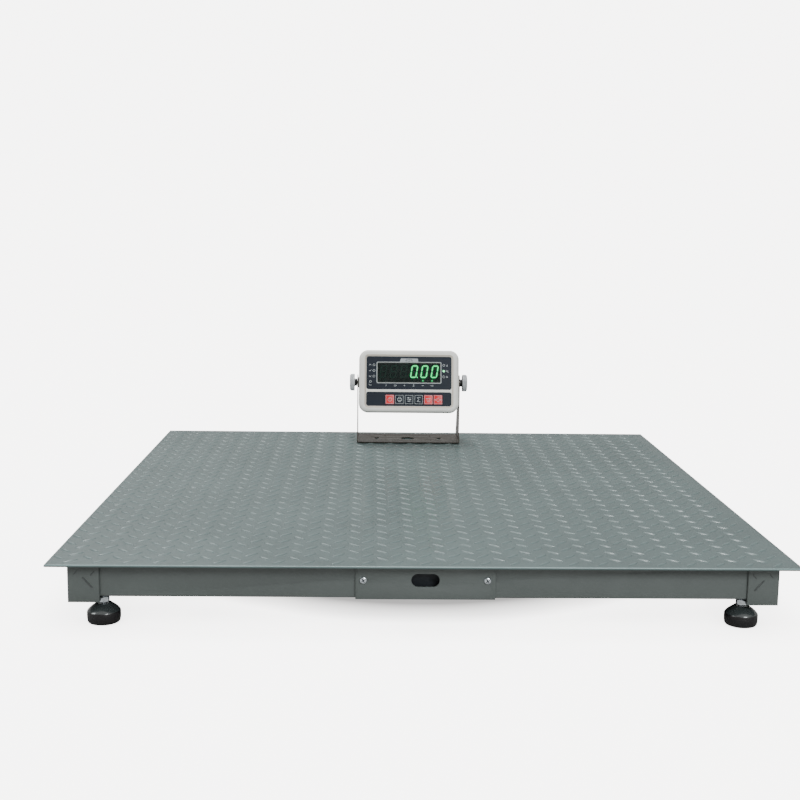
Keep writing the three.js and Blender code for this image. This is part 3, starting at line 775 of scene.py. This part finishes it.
def rear_shell():
    """The rear half, a little smaller than the bezel, with a boss on each side for its knob."""
    depth = BACK.y - FACE_Y
    width, height = WIDTH - 4 * MM, HEIGHT - 4 * MM
    start, wall, draft = SEAM + 0.3 * MM, 3 * MM, 0.8 * MM
    shell = Shell(in_casing)
    ring = lambda inset, d: casing_ring(shell, width, height, CASING_CORNER - 2 * MM, inset, d)
    outer = [ring(0, start), ring(0, start + 12 * MM), ring(draft, depth - 10 * MM)]
    outer += [ring(inset + draft, depth - d) for inset, d in fillet(9 * MM)]
    shell.tube(outer)
    gland, _ = middle_and_size("rear_cable_gland")
    inlet = [(gland.x + x, gland.z + z) for x, z in in_mm(oval(6.4, 6.4, 0, 360, 32)[:-1])]
    holes = [shell.ring(inlet, d) for d in (depth, depth - wall)]
    inner = [ring(wall, start), ring(wall + draft, depth - 10 * MM), ring(8 * MM, depth - wall)]
    shell.tube([outer[0], *inner])
    shell.tube(holes)
    shell.cap(outer[-1], [holes[0]])
    shell.cap(inner[-1], [holes[1]])
    boss = in_mm([(4.4, -9), (13, -9), (13, -0.8), (12.2, 0), (4.4, 0), (4.4, -9)])
    for side in SIDES.values():
        lathe(shell.bm, boss, along_x(side, side * BACK.x), 48)
    finished("rear_shell", shell.bm, "ivory", "casing", "ivory_plastic", ["rear_casing"], smooth=30)
    bm = bmesh.new()
    for x in (-1, 1):
        for z in (-1, 1):
            place = facing_back(x * (width / 2 - 17 * MM), z * (height / 2 - 17 * MM))
            screw_head(bm, place, 3.4 * MM, 1.9 * MM)
    finished("casing_screws", bm, ["zinc", "ink"], "casing", "zinc_steel")


# ---------------------------------------------------------------- what is printed on the face
INK = 0.08 * MM


def stroke(bm, points, width, depth, closed=False):
    """A flat printed line through points on the face."""
    points = [Vector(p) for p in points]
    for first, second in zip(points, points[1:] + points[:1] if closed else points[1:]):
        along = (second - first).normalized()
        side = Vector((-along.y, along.x)) * width / 2
        first, second = first - along * width * 0.35, second + along * width * 0.35
        corners = [first - side, second - side, second + side, first + side]
        plate(bm, corners, (depth, depth - INK))


def draw(bm, picture, x, z, depth):
    """Strokes round a point on the face; a picture has rows of (width, points, and True if closed), in mm."""
    for width, points, *closed in picture:
        stroke(bm, [(x + a, z + b) for a, b in in_mm(points)], width * MM, depth, bool(closed))


def outline_band(bm, outline, width, depth):
    """A printed line that follows a closed outline, just inside it."""
    middle = sum(outline, Vector((0, 0))) / len(outline)
    extent = [max(abs(p[i] - middle[i]) for p in outline) for i in (0, 1)]
    inner = [Vector(middle[i] + (p[i] - middle[i]) * (extent[i] - width) / extent[i] for i in (0, 1))
             for p in outline]
    around = (outline, depth), (outline, depth - INK), (inner, depth - INK), (inner, depth)
    rings = [[bm.verts.new(in_casing(p.x, p.y, d)) for p in points] for points, d in around]
    skin(bm, rings + rings[:1])


def disc_piece(bm, x, z, radius, depth, thickness=0.1 * MM, steps=24, hole=0.0):
    profile = [(hole, 0), (radius, 0), (radius, thickness), (hole, thickness)]
    lathe(bm, profile + profile[:1] if hole else profile, facing_front(x, z, depth), steps)


def lettering(text, x, z, size, depth):
    """Flat letters of a unit, as mesh data in the row frame."""
    curve = bpy.data.curves.new("letters", "FONT")
    curve.body = text
    curve.size = size
    curve.align_x = curve.align_y = "CENTER"
    curve.extrude = 0.04 * MM
    holder = in_scene("letters", curve)
    bpy.context.view_layer.update()
    mesh = bpy.data.meshes.new_from_object(holder.evaluated_get(bpy.context.evaluated_depsgraph_get()))
    mesh.transform(facing_front(x, z, depth))
    bpy.data.objects.remove(holder)
    return mesh


# each segment's ends in half widths and quarter heights of a digit
SEGMENTS = {"a": ((-1, 2), (1, 2)), "b": ((1, 2), (1, 0)), "c": ((1, 0), (1, -2)), "d": ((-1, -2), (1, -2)),
            "e": ((-1, 0), (-1, -2)), "f": ((-1, 2), (-1, 0)), "g": ((-1, 0), (1, 0))}
DIGIT = {"count": 6, "pitch": 24.7 * MM, "half_width": 6.4 * MM, "quarter_height": 6.9 * MM, "slant": 0.16,
         "bar": 2.7 * MM, "gap": 0.35 * MM, "thickness": 0.25 * MM, "above_middle": 2.8 * MM}
ZERO, LIT_DIGITS, DIGIT_WITH_POINT = "abcdef", (3, 4, 5), 3
# the row of small pictures under the window, each with a dot above it inside the window
MARKS = {"count": 6, "first": -55 * MM, "pitch": 22.1 * MM, "below_window": 6.5 * MM, "dot_height": 5.5 * MM,
         "lit": (4, 5)}


def digit_bar(bm, x, z, name, depth, width):
    """One segment of a digit, a bar with pointed ends, leaning with the digit."""
    ends = [Vector((a * DIGIT["half_width"], b * DIGIT["quarter_height"])) for a, b in SEGMENTS[name]]
    along = (ends[1] - ends[0]).normalized()
    side = Vector((-along.y, along.x)) * width / 2
    first, second = ends[0] + along * DIGIT["gap"], ends[1] - along * DIGIT["gap"]
    step = along * width / 2
    corners = [first, first + step - side, second - step - side, second, second - step + side,
               first + step + side]
    plate(bm, [(x + p.x + DIGIT["slant"] * p.y, z + p.y) for p in corners],
          (depth, depth - DIGIT["thickness"]))


def digits():
    """Six leaning digits behind the window. The first three are dark and the rest show 0.00."""
    centre, size = middle_and_size("display_window")
    depth = depth_of("display_board") - 0.35 * MM
    behind, bead = depth + 0.1 * MM, 0.3 * MM
    lit, unlit, halo = bmesh.new(), bmesh.new(), bmesh.new()
    z = centre.z + DIGIT["above_middle"]
    for i in range(DIGIT["count"]):
        x = centre.x + (i - (DIGIT["count"] - 1) / 2) * DIGIT["pitch"]
        for name in SEGMENTS:
            if i in LIT_DIGITS and name in ZERO:
                digit_bar(lit, x, z, name, depth - 0.2 * MM, DIGIT["bar"])
                digit_bar(halo, x, z, name, behind, 3.2 * DIGIT["bar"])
            else:
                digit_bar(unlit, x, z, name, depth, DIGIT["bar"])
        disc_piece(lit if i == DIGIT_WITH_POINT else unlit, x + DIGIT["half_width"] + 1.0 * MM,
                   z - 2 * DIGIT["quarter_height"], 1.4 * MM, depth, bead)
    low = centre.z - size.z / 2 + MARKS["dot_height"]
    for i in range(MARKS["count"]):
        x = centre.x + MARKS["first"] + i * MARKS["pitch"]
        if i in MARKS["lit"]:
            disc_piece(lit, x, low, 1.1 * MM, depth, bead)
            disc_piece(halo, x, low, 4 * MM, behind, 0.2 * MM)
        else:
            disc_piece(unlit, x, low, 0.9 * MM, depth, bead)
    for name, bm, look in (("lit_segments", lit, "lit"), ("dark_segments", unlit, "unlit"),
                           ("segment_glow", halo, "halo")):
        finished(name, bm, look, "casing", "smoked_window")


TAB = in_mm([(-22.5, 0), (22.5, 0), (21, 8.6), (-19.5, 8.6)])
BALANCE = [(0.8, [(-6.6, 6.4), (6.6, 6.4)]), (0.9, [(0, 7.4), (0, 1.6)]), (0.8, [(-2.4, 1.4), (2.4, 1.4)])]
for pan in (-6.6, 6.6):
    BALANCE += [(0.6, [(pan + 2.3 * math.cos(a), 3.6 + 1.7 * math.sin(a))
                       for a in steps_between(math.pi, 2 * math.pi, 8)], True),
                (0.35, [(pan, 6.2), (pan - 2, 3.8)]), (0.35, [(pan, 6.2), (pan + 2, 3.8)])]
# lamps beside the window: (x, z) in mm from the window's middle
LAMPS = [(-84.2, 18.2), (-84.2, 4.5), (-84.2, -9.3), (83.6, 18.2), (83.6, 4.3), (83.6, -9.7), (-92.5, -22)]
LIT_LAMP = (83.6, 4.3)
# pictures left of the lamps, drawn where the middle of their column is
BESIDE_X = -93.4 * MM
BESIDE = {18.2: [(0.7, [(-2.4, -1.2), (0, 1.8), (2.4, -1.2)])],
          4.5: [(0.7, [(-2.4, 0.2), (-0.6, -1.7), (2.6, 2)])],
          -9.3: [(0.7, [(-2.4, 1.2), (0, -1.8), (2.4, 1.2)])],
          -29: [(0.6, [(-2.2, 1.2), (-2.2, -1.6), (4, -1.6)])]}
UNITS = (("g", 91.5, 18.8), ("kg", 92, 4.6), ("lb", 91.5, -9.7))
# charging, battery, plus, sum, steady and zero
THIN = 0.55
UNDER_WINDOW = [
    [(THIN, [(0.8, 2.2), (-0.9, 0), (0.9, 0), (-0.8, -2.2)])],
    [(THIN, [(-2.8, -1.4), (2.2, -1.4), (2.2, 1.4), (-2.8, 1.4)], True), (0.8, [(2.9, -0.5), (2.9, 0.5)])],
    [(THIN, [(-1.8, 0), (1.8, 0)]), (THIN, [(0, -1.8), (0, 1.8)])],
    [(THIN, [(1.6, 2), (-1.6, 2), (0.4, 0), (-1.6, -2), (1.6, -2)])],
    [(THIN, [(-2.6, -0.8), (-1.2, 0.8), (0.2, -0.8), (1.6, 0.8), (2.8, -0.6)])],
    [(THIN, [(-4.2, 0), (-2.6, 0)]), (THIN, [(2.6, 0), (4.2, 0)])],
]


def display_field():
    """The upper sheet with its window and tab, and all that is printed round them."""
    window, window_size = middle_and_size("display_window")
    front = depth_of("display_overlay")
    back = front + 1 * MM
    round_window = lambda more, corner: outline_of("display_window", corner * MM, more * MM)
    slab("display_sheet", outline_of("display_overlay", SHEET_CORNER), front, back, "panel", "panel_ink",
         0.15 * MM, [round_window(0.4, 3)], ["display_overlay"])
    slab("window_pane", round_window(0, 2.8), front + 0.1 * MM, back, "pane", "smoked_window", 0.1 * MM, (),
         ["display_window"])
    light, tab, dark, lit = bmesh.new(), bmesh.new(), bmesh.new(), bmesh.new()
    outline_band(light, round_window(2.2, 3.6), 1.0 * MM, front)
    top = window.z + window_size.z / 2 + 0.9 * MM
    plate(tab, [(x, top + z) for x, z in TAB], (front, front - INK))
    draw(dark, BALANCE, 0, top, front - INK)
    for x, z in LAMPS:
        place = (x * MM, window.z + z * MM)
        disc_piece(light, *place, 2.9 * MM, front, 0.1 * MM, 32, 2.3 * MM)
        disc_piece(lit if (x, z) == LIT_LAMP else dark, *place, 2.2 * MM, front, 0.25 * MM, 28)
    z = window.z - window_size.z / 2 - MARKS["below_window"]
    for i, picture in enumerate(UNDER_WINDOW):
        x = window.x + MARKS["first"] + i * MARKS["pitch"]
        draw(light, picture, x, z, front)
    disc_piece(light, x, z, 1.9 * MM, front, INK, 24, 1.35 * MM)
    for z, picture in BESIDE.items():
        draw(light, picture, BESIDE_X, window.z + z * MM, front)
    for text, x, z in UNITS:
        letters = lettering(text, x * MM, window.z + z * MM, 6.2 * MM, front - 0.05 * MM)
        light.from_mesh(letters)
        bpy.data.meshes.remove(letters)
    for name, bm, look in (("face_print", light, "print"), ("face_tab", tab, "tab"),
                           ("face_dark_print", dark, "ink"), ("unit_lamp", lit, "lit")):
        finished(name, bm, look, "casing", "panel_ink")


# plain pictures of what each key does
KEY_PICTURES = {
    "power": [(1, oval(4.4, 4.4, 120, 420, 20)), (1, [(0, 0.6), (0, 5.4)])],
    "print": [(0.7, [(-5, -2.5), (5, -2.5), (5, 2), (-5, 2)], True),
              (0.7, [(-3, 2.2), (-3, 5.4), (3, 5.4), (3, 2.2)]), (0.7, [(-3, -4), (3, -4)]),
              (0.7, [(-3, -5.6), (3, -5.6)])],
    "function": [(0.6, [(-5, z), (5, z)]) for z in (4, 0, -4)],
    "total": [(0.8, [(4, 5), (-4, 5), (1, 0), (-4, -5), (4, -5)])],
    "tare": [(0.8, [(-5.4, 3), (5.4, 3)]), (0.7, [(-3, 3), (-4.2, -1.5), (4.2, -1.5), (3, 3)]),
             (1, [(-3, -5), (3, -5)])],
    "zero": [(0.8, oval(3, 4.4, 0, 360, 20)[:-1], True)],
}
for side in SIDES.values():
    KEY_PICTURES["zero"] += [(0.7, [(side * 8, 0), (side * 5, 0)]),
                             (0.6, [(side * 6.4, 1.5), (side * 5, 0), (side * 6.4, -1.5)])]
SLIDER_KNOBS = ((-2, 4), (2.4, 0), (-0.5, -4))


def key_field():
    """The lower sheet, with an opening for each key."""
    front = depth_of("key_overlay")
    holes = [outline_of("key_" + name, 1.7 * MM, 0.6 * MM, 3) for name in KEYS]
    slab("key_sheet", outline_of("key_overlay", SHEET_CORNER), front, front + 1 * MM, "panel", "panel_ink",
         0.15 * MM, holes, ["key_overlay"])
    for name in KEYS:
        key_cap(name)


def key_cap(name):
    """A key's cap, with the printed line round its edge and its picture."""
    at, _ = middle_and_size("key_" + name)
    front = depth_of("key_" + name)
    round_edge = lambda less, corner, steps: outline_of("key_" + name, corner * MM, -less * MM, steps)
    shell = Shell(in_casing)
    rings = [shell.ring(round_edge(less, 1.5, 4), front + behind * MM)
             for less, behind in ((0, 1.1), (0, 0.45), (0.35, 0.15), (1.1, 0))]
    shell.tube(rings)
    shell.cap(rings[0])
    shell.cap(rings[-1])
    colour = "red_key" if name in RED_KEYS else "dark_key"
    finished("keycap_" + name, shell.bm, colour, "key_" + name, colour, ["key_" + name])
    bm = bmesh.new()
    outline_band(bm, round_edge(1.3, 1.4, 5), 0.55 * MM, front + 0.02 * MM)
    draw(bm, KEY_PICTURES[name], at.x, at.z, front)
    if name == "function":
        for x, z in in_mm(SLIDER_KNOBS):
            disc_piece(bm, at.x + x, at.z + z, 1.5 * MM, front, 0.12 * MM)
    finished("key_print_" + name, bm, "print", "key_" + name, "panel_ink")


# ---------------------------------------------------------------- knobs, gland and bracket
KNOB_DEPTH = 18
# the knob's stud and hub, then (how far in from the rim, height) of its rim, in mm
KNOB_HUB = [(0, -14), (3.9, -14), (3.9, 0), (8.4, 0), (9, 0.6), (9, 12)]
KNOB_RIM = [(3.2, 12), (3, 6.4), (2.4, 6), (1, 6), (0, 7), (0, 9), (0, 13.6), (0.5, 15.4), (1.8, 16.9),
            (4, 17.7), (7, KNOB_DEPTH), (8, 17.5)]
FLUTED_RINGS = (10, 11, 12, 13)


def clamp_knobs():
    """Fluted knobs, hollow on the side that faces the bracket, each on its threaded stud."""
    for name, side in SIDES.items():
        low, high = corner_points("clamp_knob_" + name, FROM_CASING)
        outer = high.x if side > 0 else -low.x
        r = (high.z - low.z) / 2 / MM
        profile = KNOB_HUB + [(r - inwards, height) for inwards, height in KNOB_RIM]
        profile += [(4, 17.3), (0, 17.3)]
        bm = bmesh.new()
        place = along_x(side, side * (outer - KNOB_DEPTH * MM))
        lathe(bm, in_mm(profile), place, 160, 40, 0.7 * MM, FLUTED_RINGS,
              lambda n: 2 if n < 2 else (1 if n < 8 else 0))
        finished("knob_piece_" + name, bm, ["knob", "black", "zinc"], "knob_" + name, "grey_knob",
                 ["clamp_knob_" + name], smooth=40)
        near, far = corner_points("friction_washer_" + name, FROM_CASING)
        start, end = sorted((abs(near.x), abs(far.x)))
        thick = (end - start) / MM
        bm = bmesh.new()
        lathe(bm, in_mm([(5, 0), (12.4, 0), (13, 0.4), (13, thick - 0.4), (12.4, thick), (5, thick), (5, 0)]),
              along_x(side, side * start), 48)
        finished("washer_piece_" + name, bm, "rubber", "casing", "black_rubber", ["friction_washer_" + name])


def rear_gland():
    """A cable gland: a hexagon on the casing, and a ribbed cap nut round the cable's inlet."""
    centre, _ = middle_and_size("rear_cable_gland")
    matrix = facing_back(centre.x, centre.z)
    bm = bmesh.new()
    hex_piece(bm, 18 * MM, 0.3 * MM, 6 * MM, 3.6 * MM, matrix)
    cap = [(3.6, 5.8), (8.4, 5.8), (8.6, 7.4), (8.6, 14.6), (8, 16), (6.6, 18.6), (5.6, 19), (3.6, 19),
           (3.6, 5.8)]
    lathe(bm, in_mm(cap), matrix, 96, 24, 0.45 * MM, (2, 3))
    lathe(bm, in_mm([(3.6, -7), (6, -7), (6, 0.4), (3.6, 0.4), (3.6, -7)]), matrix, 32)
    finished("gland_piece", bm, "black", "casing", "black_plastic", ["rear_cable_gland"])


def bracket():
    """Bent from one sheet: the two long bends are rounded, and every cut edge is broken."""
    low, high = corner_points("indicator_bracket")

    def bend(edge):
        a, b = edge.verts
        long = abs(a.co.y - b.co.y) > 0.9 * (high.y - low.y)
        return long and abs(abs(a.co.x) - high.x) < 2.5 * MM and max(a.co.z, b.co.z) < low.z + 3 * MM

    refined("indicator_bracket", "bracket", "bracket", "stainless", 0.3 * MM, wide=bend, wide_edge=1.8 * MM)


# ---------------------------------------------------------------- inside the casing
def block(bm, low, high, look=0):
    """A box between two corners, each (x, z, depth) in the casing's frame."""
    corners = [(low[0], low[1]), (high[0], low[1]), (high[0], high[1]), (low[0], high[1])]
    plate(bm, corners, (low[2], high[2]), look)


# places on the main board: (x, z) in mm
CHIPS = ((-60, -14), (-20, 18), (38, 40))
CAPACITORS = ((-2, -22), (12, -22), (66, 8), (66, -6))
BOARD_SCREWS = ((-82, -28), (-82, 56), (82, -28), (82, 56))
CAN = [(0, 0), (4, 0), (4, 0.8), (3.7, 1.4), (4, 2), (4, 10.4), (3.5, 11), (3, 10.8), (0, 10.8)]
# the socket's two walls and floor: from z, to z, height
SOCKET = ((50, 52, 6), (57, 59, 6), (52, 57, 1.5))


def board_parts(surface):
    """Chip legs, capacitors, a socket with its pins, and the screws that hold the main board."""
    bm = bmesh.new()
    box = lambda x0, x1, z0, z1, above, below=0, look=0: block(
        bm, (x0 * MM, z0 * MM, surface - above * MM), (x1 * MM, z1 * MM, surface - below * MM), look)
    for x, z in CHIPS:
        for side in SIDES.values():
            for k in range(-3, 4):
                at = z + k * 1.9
                for start, below in ((8.8, 1.8), (10.2, -0.1)):
                    box(*sorted((x + side * start, x + side * 10.6)), at - 0.25, at + 0.25, 2.2, below)
    for x, z in in_mm(CAPACITORS):
        lathe(bm, in_mm(CAN), facing_front(x, z, surface), 32, look_of=lambda n: 0 if n > 5 else 1)
    for start, end, above in SOCKET:
        box(-70, -40, start, end, above, look=1)
    for k in range(10):
        x = -67.5 + 2.5 * k
        box(x - 0.32, x + 0.32, 54.2, 54.8, 7.5, 1)
    for x, z in in_mm(BOARD_SCREWS):
        screw_head(bm, facing_front(x, z, surface), 2.8 * MM, 1.6 * MM)
    finished("board_parts", bm, ["zinc", "ink"], "casing", "circuit_board")


def electronics():
    """The two boards with their small parts, and the battery with its terminals."""
    digits_board = refined("display_board", ["board", "well"], "casing", "circuit_board", 0.15 * MM, 1)
    front = corner_points("display_board", FROM_CASING)[0].y
    for polygon in digits_board.data.polygons:
        place = FROM_CASING @ polygon.center
        if place.z > -4 * MM and place.y < front + 7 * MM:
            polygon.material_index = 1
    main = refined("main_board", ["board", "ink"], "casing", "circuit_board", 0.15 * MM, 1)
    surface = corner_points("main_board", FROM_CASING)[1].y - 1.6 * MM
    for polygon in main.data.polygons:
        if (FROM_CASING @ polygon.center).y < surface - 0.2 * MM:
            polygon.material_index = 1
    board_parts(surface - FACE_Y)
    refined("battery", "black", "casing", "black_plastic", 1.5 * MM, 3)
    low, high = corner_points("battery", FROM_CASING)
    middle = (low.y + high.y) / 2 - FACE_Y
    bm = bmesh.new()
    for x, look in ((low.x + 10 * MM, 2), (high.x - 10 * MM, 1)):
        for half_width, below, height, half_depth, colour in ((5, 0.5, 1.2, 5, look), (2.4, 0, 7, 0.4, 0)):
            block(bm, (x - half_width * MM, high.z - below * MM, middle - half_depth * MM),
                  (x + half_width * MM, high.z + height * MM, middle + half_depth * MM), colour)
    finished("battery_terminals", bm, ["zinc", "black", "red_key"], "casing", "black_plastic")


# ---------------------------------------------------------------- studio
def studio_look():
    """Pale where the camera sees it, with a contact shade from ambient occlusion and a painted shadow under
    the platform, but reflecting less light onto the object.
    """
    material, tree, shader = blank("studio_look", 0.8)
    base = ramp(tree, noise(tree, 1.5, 2), [(0.3, (0.9, 0.885, 0.875)), (0.7, (0.92, 0.905, 0.895))])
    dress(tree, shader, base)
    # contact shade painted into the floor's glow from ambient occlusion
    near = node_of(tree, "ShaderNodeAmbientOcclusion", Distance=0.12)
    soft = ramp(tree, near.outputs["AO"], [(0.0, (0.5, 0.49, 0.485)), (0.9, (1.0, 0.985, 0.975))])
    # a painted shadow: the glow fades to near black under the middle of the platform
    where = tree.nodes.new("ShaderNodeTexCoord")
    reach = tree.nodes.new("ShaderNodeVectorMath")
    reach.operation = "LENGTH"
    link(tree, (where.outputs["Object"], reach.inputs[0]))
    painted_shadow = ramp(tree, span(tree, reach.outputs["Value"], 0.0, 1.0, 0.3, 0.56),
                [(0.0, (0.01,) * 3), (0.6, (0.12,) * 3), (0.85, (0.6,) * 3), (1.0, (1.0,) * 3)])
    glow = node_of(tree, "ShaderNodeEmission", Strength=8.0)
    seen = node_of(tree, "ShaderNodeMixShader", Fac=0.8)
    dull = node_of(tree, "ShaderNodeBsdfDiffuse", Color=(0.42, 0.415, 0.41, 1))
    path = tree.nodes.new("ShaderNodeLightPath")
    last = tree.nodes.new("ShaderNodeMixShader")
    link(tree, (mix(tree, painted_shadow, (0.01, 0.01, 0.01), soft), glow.inputs["Color"]),
         (shader.outputs["BSDF"], seen.inputs[1]), (glow.outputs["Emission"], seen.inputs[2]),
         (path.outputs["Is Camera Ray"], last.inputs["Fac"]), (dull.outputs["BSDF"], last.inputs[1]),
         (seen.outputs["Shader"], last.inputs[2]),
         (last.outputs["Shader"], tree.nodes["Material Output"].inputs["Surface"]))
    return material


# name: place, size and power
STUDIO_LAMPS = {"key": ((-0.6, 2.4, 6.2), 1.6, 230), "window": ((-3.8, -1.6, 2.2), 1.6, 62),
               "back": ((-2.6, 4.8, 4.5), 2.2, 66), "front": ((1.7, -4.0, 2.6), 1.4, 140)}
LAMP_COLOUR = (0.95, 1.0, 1.0)
AIM = Vector((0, 0, 0.1))


def studio():
    """A round pale floor that curves up into a wall, open above, and soft lamps."""
    reach, bend, rise = 7.0, 2.0, 5.0
    curve = [(reach - bend + bend * math.sin(a), bend - bend * math.cos(a))
             for a in steps_between(0, QUARTER_TURN, 12)]
    bm = bmesh.new()
    lathe(bm, [(0, 0), (1.5, 0), (3, 0), *curve, (reach, rise)], upright(0, 0, -0.4 * MM), 96)
    smooth_object("studio_floor", bm, [studio_look()])
    world = bpy.data.worlds.new("studio_world")
    bpy.context.scene.world = world
    world.use_nodes = True
    light = world.node_tree.nodes["Background"]
    light.inputs["Color"].default_value = (1.0, 0.99, 0.98, 1)
    light.inputs["Strength"].default_value = 0.9
    for name, (place, size, power) in STUDIO_LAMPS.items():
        lamp = bpy.data.lights.new(name, "AREA")
        lamp.energy, lamp.size, lamp.color = power, size, LAMP_COLOUR
        holder = in_scene(name, lamp)
        holder.location = place
        holder.rotation_euler = (AIM - Vector(place)).to_track_quat("-Z", "Y").to_euler()


def camera():
    """Where the photographer stood: a little left of the middle, 0.66 m up, looking slightly down."""
    lens = bpy.data.cameras.new("camera")
    lens.sensor_width = 36
    lens.lens = 54.84
    lens.clip_end = 60
    made = in_scene("camera", lens)
    stand = Matrix.Translation((-0.0870, -2.4564, 0.6551))
    for axis, degrees in (("Z", -1.305), ("X", 90 - 8.654), ("Z", 0.684)):
        stand = stand @ rotation(math.radians(degrees), axis)
    made.matrix_world = stand
    bpy.context.scene.camera = made


for make in (tread_plate, frame_members, welds, cover_screws, inside_parts, feet, front_shell, rear_shell,
             display_field, digits, key_field, clamp_knobs, rear_gland, bracket, electronics, studio, camera):
    make()
